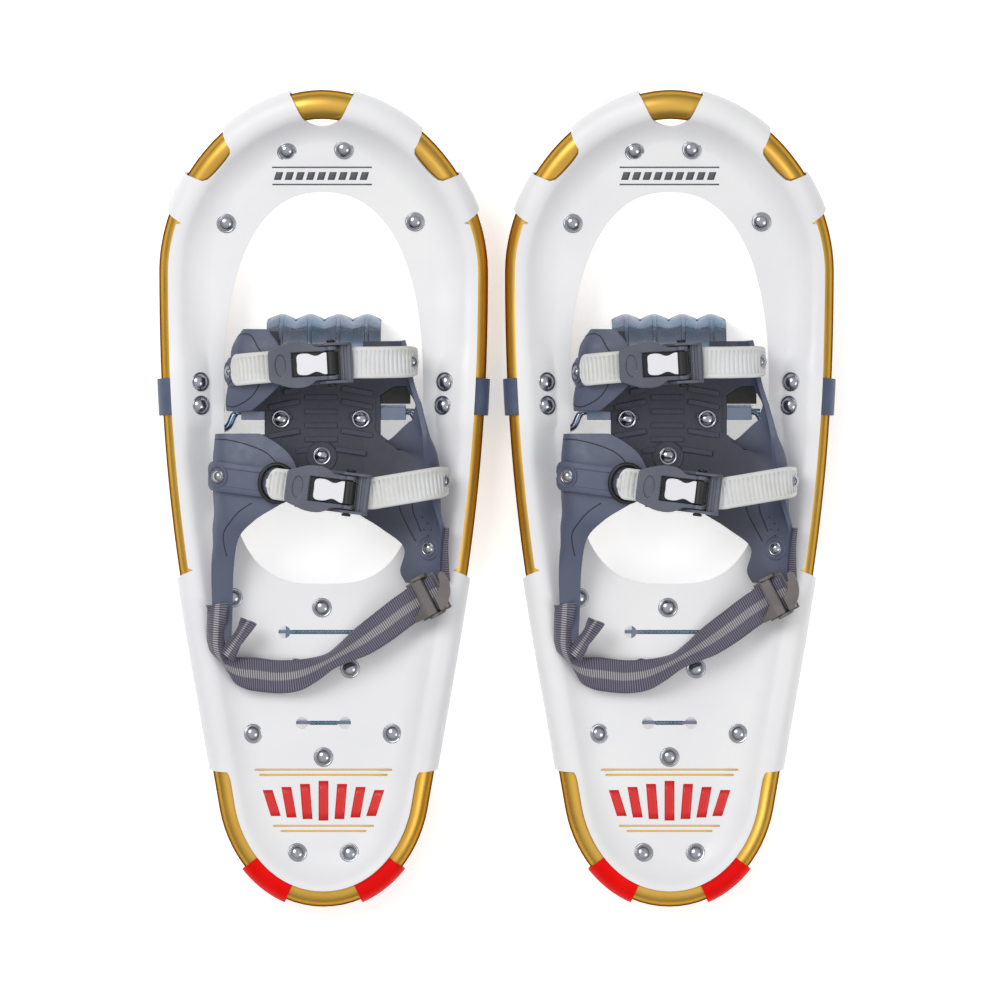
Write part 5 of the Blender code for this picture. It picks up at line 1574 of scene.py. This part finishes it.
# %% Buckles
TOE_FRAME = Matrix.Translation((6.9, 88.5, 79.5)) @ Matrix.Rotation(math.radians(3), 4, "Z")
INSTEP_FRAME = Matrix.Translation((18, 4.6, 85.5)) @ Matrix.Rotation(math.radians(-7), 4, "Z")
ALONG_Y = Matrix.Rotation(-math.pi / 2, 4, "X")
LEVER_OUTLINE = (
    (-41, 0), (-41, 6), (-40.6, 9.4), (-38.4, 11), (-33, 12.8), (-27, 14.7), (-19, 15), (-13.5, 13.2),
    (-10.5, 11), (-6, 10.8), (-1, 10.8),
)
TAB_OUTLINE = ((-22.5, 0), (-22, 6), (-16, 7), (-10, 5.2), (-5, 7), (-2, 7))
CHEEK = ((-9, -11), (13.5, -11), (13.5, -1.5), (10, 2), (4, 3.4), (-4, 3.4), (-9, -3))
CHEEK_SHEET = 2
CHEEK_Y = 13.3
BASE_BOXES = (
    ((-34, 12), (-CHEEK_Y, CHEEK_Y), (-11, -9)),
    ((5.2, 13.4), (-12.8, 12.8), (-5.2, -1.6)),
    ((6.4, 8), (-12.8, 12.8), (-2, -0.4)),
    ((10, 12.4), (-12.8, 12.8), (-2, -0.6)),
)
PIN = (
    (0, -15.2), (2.6, -15.2), (3, -14.6), (3, -13.6), (2, -13.5), (2, 13.5), (3, 13.6), (3, 14.6),
    (2.6, 15.2), (0, 15.2),
)
LEVER_WINDOW = ((-26, -8), (10, -8), (10, 8), (-26, 8))
LEVER_HALF = 2
THUMB = (-33.2, 3.4, 7)
EYE_BORE = 2.3
EYE_RADIUS = 4
EYE_WIDTH = 2.75
EYE_YS = (8.05, -10.8)
HOOD_SLEEVE = (EYE_BORE, 4.3, -7.5, 7.5)
HOOD_SHADE_PLATE = ((-25.2, -2), (-7.7, 7.7), (-1.5, -0.7))
TAB_ZS = (-0.5, 3)
TAB_SLEEVE = (2.6, 3.8, -7, 7)


def both_halves(outline):
    """A closed outline from the half on the +Y side, smoothed."""
    whole = [(x, -y, 0) for x, y in reversed(outline)] + [(x, y, 0) for x, y in outline[1:]]
    return [p.xy for p in smooth_path(whole, 1.2)]


def oval(x, a, b, count=28):
    """An oval about a point of the X axis, with these half sizes."""
    ring = arc((0, 0), 1, spread(0, 360, count)[:-1])
    return [(x + a * px, b * py) for px, py in ring]


def sleeve(bore, radius, start, end):
    """The profile of a round sleeve between two places on its axis."""
    return ((bore, start), (radius, start), (radius, end), (bore, end))


def lay_box(bm, xs, ys, zs):
    """A block between two values of x, of y and of z."""
    (x0, x1), (y0, y1), (z0, z1) = xs, ys, zs
    corners = ((x0, y0), (x1, y0), (x1, y1), (x0, y1))
    lay_blank(bm, corners, z1 - z0, Matrix.Translation((0, 0, z0)))


def place_in(bm, matrix):
    """Moves a drawing from its own axes to its place on the shoe."""
    bmesh.ops.transform(bm, matrix=matrix, verts=bm.verts)


def draw_base():
    """The floor and cross bars between two cheeks."""
    bm = bmesh.new()
    for box in BASE_BOXES:
        lay_box(bm, *box)
    for y in (CHEEK_SHEET - CHEEK_Y, CHEEK_Y):
        lay_blank(bm, CHEEK, CHEEK_SHEET, Matrix.Translation((0, y, 0)) @ STAND_UP)
    return bm


def draw_lever():
    """The lever with its window and thumb recess, and two eyes on the pin."""
    cutters = [blank_for(LEVER_WINDOW, -9, 9), blank_for(oval(*THUMB), 0.8, 6)]
    bm = cut_from(blank_for(both_halves(LEVER_OUTLINE), -LEVER_HALF, LEVER_HALF), cutters)
    for y in EYE_YS:
        spin_profile(bm, sleeve(EYE_BORE, EYE_RADIUS, y, y + EYE_WIDTH), ALONG_Y, 24)
    return bm


def draw_hood():
    """The dark sleeve, and a dark plate under the release tab that is painted shade in the lever's window.
    """
    bm = bmesh.new()
    spin_profile(bm, sleeve(*HOOD_SLEEVE), ALONG_Y, 24)
    # Painted shade: a dark plate fills the lever's window around the tab.
    lay_box(bm, *HOOD_SHADE_PLATE)
    return bm


def draw_tab():
    """The white release tab with its eye on the pin."""
    bm = blank_for(both_halves(TAB_OUTLINE), *TAB_ZS)
    spin_profile(bm, sleeve(*TAB_SLEEVE), ALONG_Y, 24)
    return bm


print("base, lever, hood and tab can be drawn")

# %% [markdown]
# Each drawing is then moved to its place on the toe strap and on the instep strap.

# %% Buckles in place
for word, where in (("toe", TOE_FRAME), ("instep", INSTEP_FRAME)):
    bm = draw_base()
    place_in(bm, where)
    nodes = [word + "_buckle_base"]
    finish_piece(word + "_base", bm, buckle_grey, "binding", nodes, bevel=0.5)

    bm = bmesh.new()
    spin_profile(bm, PIN, where @ ALONG_Y)
    finish_piece(word + "_pin", bm, black_rubber_and_shade, "binding", [word + "_buckle_pin"])

    bm = draw_lever()
    place_in(bm, where)
    nodes = [word + "_buckle_lever"]
    body = word + "_lever"
    finish_piece(word + "_lever", bm, buckle_grey, body, nodes, bevel=0.7, segments=3)

    bm = draw_hood()
    place_in(bm, where)
    body = word + "_release"
    finish_piece(word + "_hood", bm, black_rubber_and_shade, body, bevel=0.3)

    bm = draw_tab()
    place_in(bm, where)
    nodes = [word + "_release_tab"]
    finish_piece(word + "_tab", bm, tab_white, body, nodes, bevel=0.7, segments=3)
print("two buckles on each shoe")

# %% [markdown]
# ## Keeper
#
# A rubber ring keeps the instep ladder's loose end down. It is a round bar along an oval, closed on
# itself.

# %% Keeper
KEEPER_PLACE = Vector((-28.8, 10.8, 74.9))
KEEPER_REACH = Vector((11, 0, 0.6))
KEEPER_SIDE = Vector((0, 12.2, 0))
KEEPER_RADIUS = 1.5
KEEPER_STEPS = 48
bm = bmesh.new()
ring = arc((0, 0), 1, spread(0, 360, KEEPER_STEPS)[:-1])
loop = [KEEPER_PLACE + KEEPER_REACH * a + KEEPER_SIDE * b for a, b in ring]
tube_along(bm, loop, KEEPER_RADIUS, 12, closed=True)
finish_piece("keeper", bm, black_rubber_and_shade, "binding", ["strap_keeper"])
print("keeper ring is", round(2 * KEEPER_SIDE.y), "mm across")

# %% [markdown]
# ## Heel webbing
#
# The heel strap is flat webbing: it is gathered round the end of the harness arm, turns, and runs with
# half a twist behind the heel to a small cam buckle. A short piece comes from the lug to the same buckle,
# and a loose end lies beside the gathered one. Each mark below is a place, the vector across the strap
# and how far its middle is raised.

# %% Heel webbing
WEBBING_SHEET = 1.6
HEEL_STRAP = (
    (-68.6, -68, 47, 14, 2, 0, -2.2), (-69, -76, 46.4, 12, -2, 4, 1.8), (-69.8, -86, 45, 11, -1, -4, 3.4),
    (-69.6, -96, 43.8, 10.4, -4, 3, 3.6), (-66.6, -104.6, 42.4, 10, -9, -2, 3),
    (-61, -110.4, 41, 6, -16, 0, 1.8), (-53, -113, 39.8, 3, -20, 0, 0.8), (-44, -114, 38.6, 1, -22, 0, 0.5),
    (-30, -115.6, 37, 1, -21.6, 0, -0.6), (-17, -114.4, 37.4, 3.4, -19.6, 7, -0.8),
    (-6, -110.8, 39, 4.6, -13.6, 15, 0), (5, -105.2, 41, 5, -8.2, 19, 0.6),
    (15, -99.4, 42, 7.4, -10.6, 17, 0.8), (26, -92.4, 42.6, 10.4, -15.2, 11.4, 0.8),
    (40, -82.4, 43.6, 11, -17.8, 5, 0.4), (54.4, -71.4, 46.6, 10, -19.4, 0, 0),
    (68.2, -62.9, 50.4, 10, -19.4, 0, 0), (76, -58.8, 52.8, 10, -19.4, 0, 0),
)
LUG_STRAP = (
    (80, -18, 47.2, 4, 0, 16.4, 0), (78.8, -26, 45.3, 5, 0, 16.2, 0), (77.4, -34, 43.4, 7.6, 0, 15.2, 0),
    (75.6, -46, 40.4, 13, 0, 11, 0), (75, -53, 39.4, 16, 0, 5.4, 0),
)
LOOSE_END = (
    (-63, -101.6, 45.6, 9, -6.6, 3, 2.6), (-58.4, -95, 47, 7, -5.4, 8, 2),
    (-54, -88.8, 48, 6, -4.4, 10, 0.4), (-50.4, -82.6, 48.4, 8.4, -4, 7, -1.8),
    (-48, -78.6, 48.2, 9.6, -3.6, 3, -2.8),
)


def weave(bm, marks, step=1.2, cells=8):
    """Webbing through marks, with the UV map of its weave. Gives its length."""
    marks = [Vector(mark) for mark in marks]
    longest = sum((b - a).xyz.length for a, b in zip(marks, marks[1:]))
    count = round(longest / step)
    rows = []
    gone = []
    for i in range(count + 1):
        mark = spline_at(marks, i / count * (len(marks) - 1))
        place = Vector(mark[:3])
        across = Vector(mark[3:6])
        row = []
        for share in spread(-0.5, 0.5, cells):
            row.append(place + across * share + Vector((0, 0, mark[6] * (1 - 8 * share * share))))
        middle = row[cells // 2]
        gone.append(gone[-1] + (middle - rows[-1][cells // 2]).length if rows else 0)
        rows.append(row)
    verts = lay_sheet(bm, rows)
    layer = bm.loops.layers.uv.new("UVMap")
    for k, vert in enumerate(verts):
        for loop in vert.link_loops:
            loop[layer].uv = (k % (cells + 1) / cells, gone[k // (cells + 1)] / RIB_PITCH)
    return gone[-1]


for word, marks, nodes in (
    ("heel_strap", HEEL_STRAP, ["heel_webbing"]),
    ("lug_strap", LUG_STRAP, ["heel_tab"]),
    ("loose_end", LOOSE_END, ()),
):
    bm = bmesh.new()
    length = weave(bm, marks)
    finish_piece(word, bm, webbing_look, "binding", nodes, wall=WEBBING_SHEET)
    print(word, "is", round(length), "mm long")

# %% [markdown]
# ## Cam buckle
#
# The cam buckle lies slanted on the lug's strap, so it has axes of its own: x along the heel strap and y
# along its pin. A floor and two cheeks hold the pin, and a flap with a cam grips the webbing. A curved
# horn guides the short piece.

# %% Cam buckle
STRAP_WAY = Vector((-0.85, -0.45, -0.27)).normalized()
PIN_WAY = Vector((0.46, -0.88, 0))
CAM_PLACE = (68, -63, 54.2)
CAM_FLOOR = ((-10, 11), (-12.6, 13.4), (-7, -5))
CAM_POST = ((-9.4, -5.8), (9.6, 12.2), (-6.6, 3))
CAM_CHEEK = ((-5, -7), (5, -7), (5, -1), (2.4, 2.4), (-2.4, 2.4), (-5, -1))
CAM_CHEEK_YS = (-12.5, 14.5)
CAM_WIDTH = 24.2
HORN_Z = 1.6
HORN_SHEET = 2.6
CAM_LEVER = (
    (-2.2, -0.8), (-2, 2.2), (3, 4.2), (10, 2.4), (15, -0.6), (14.2, -1.8), (8, 0.6), (3, 1), (1, -2.4),
    (-1.2, -2.4),
)
CAM_HORN = (
    (-5.4, 3), (-5.4, 8), (-5.6, 12.2), (-11, 10), (-16, 5), (-18.8, -2), (-18.6, -9), (-16.4, -10.6),
    (-14.6, -9), (-13, -4), (-9.4, 0.4), (-5.4, 3),
)
CAM_TRIM = ((4, -14), (18, -14), (18, 8.8), (11, 7.6), (5.6, 3.8))
CAM_PIN = ((0, -14.4), (1.9, -14.4), (1.9, 14.4), (0, 14.4))

pin_way = (PIN_WAY - STRAP_WAY * PIN_WAY.dot(STRAP_WAY)).normalized()
turn = Matrix((STRAP_WAY, pin_way, STRAP_WAY.cross(pin_way))).transposed().to_4x4()
cam_frame = Matrix.Translation(CAM_PLACE) @ turn
bm = bmesh.new()
lay_box(bm, *CAM_FLOOR)
horn = [point.xy for point in smooth_path([(x, y, 0) for x, y in CAM_HORN], 1)]
lay_blank(bm, horn, HORN_SHEET, Matrix.Translation((0, 0, HORN_Z)))
lay_box(bm, *CAM_POST)
for y in CAM_CHEEK_YS:
    lay_blank(bm, CAM_CHEEK, CHEEK_SHEET, Matrix.Translation((0, y, 0)) @ STAND_UP)
place_in(bm, cam_frame)
finish_piece("cam_body", bm, cam_grey, "binding", ["cam_buckle"], bevel=0.6)

bm = bmesh.new()
lay_blank(bm, CAM_LEVER, CAM_WIDTH, Matrix.Translation((0, CAM_WIDTH / 2, 0)) @ STAND_UP)
bm = cut_from(bm, [blank_for(CAM_TRIM, -8, 9)])
spin_profile(bm, CAM_PIN, ALONG_Y, 18)
place_in(bm, cam_frame)
finish_piece("cam_flap", bm, cam_grey, "cam", ["cam_lever"], bevel=0.6)
print("cam buckles drawn")

# %% [markdown]
# ## Size and finish
#
# The dressed shoes should fill the same space as the mechanical model.

# %% Finish
low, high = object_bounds()
sizes = {
    "cad": [[round(v, 6) for v in cad_low], [round(v, 6) for v in cad_high]],
    "visual": [[round(v, 6) for v in low], [round(v, 6) for v in high]],
}
for word, (a, b) in sizes.items():
    print(word, [round((q - p) / MM, 1) for p, q in zip(a, b)], "mm")
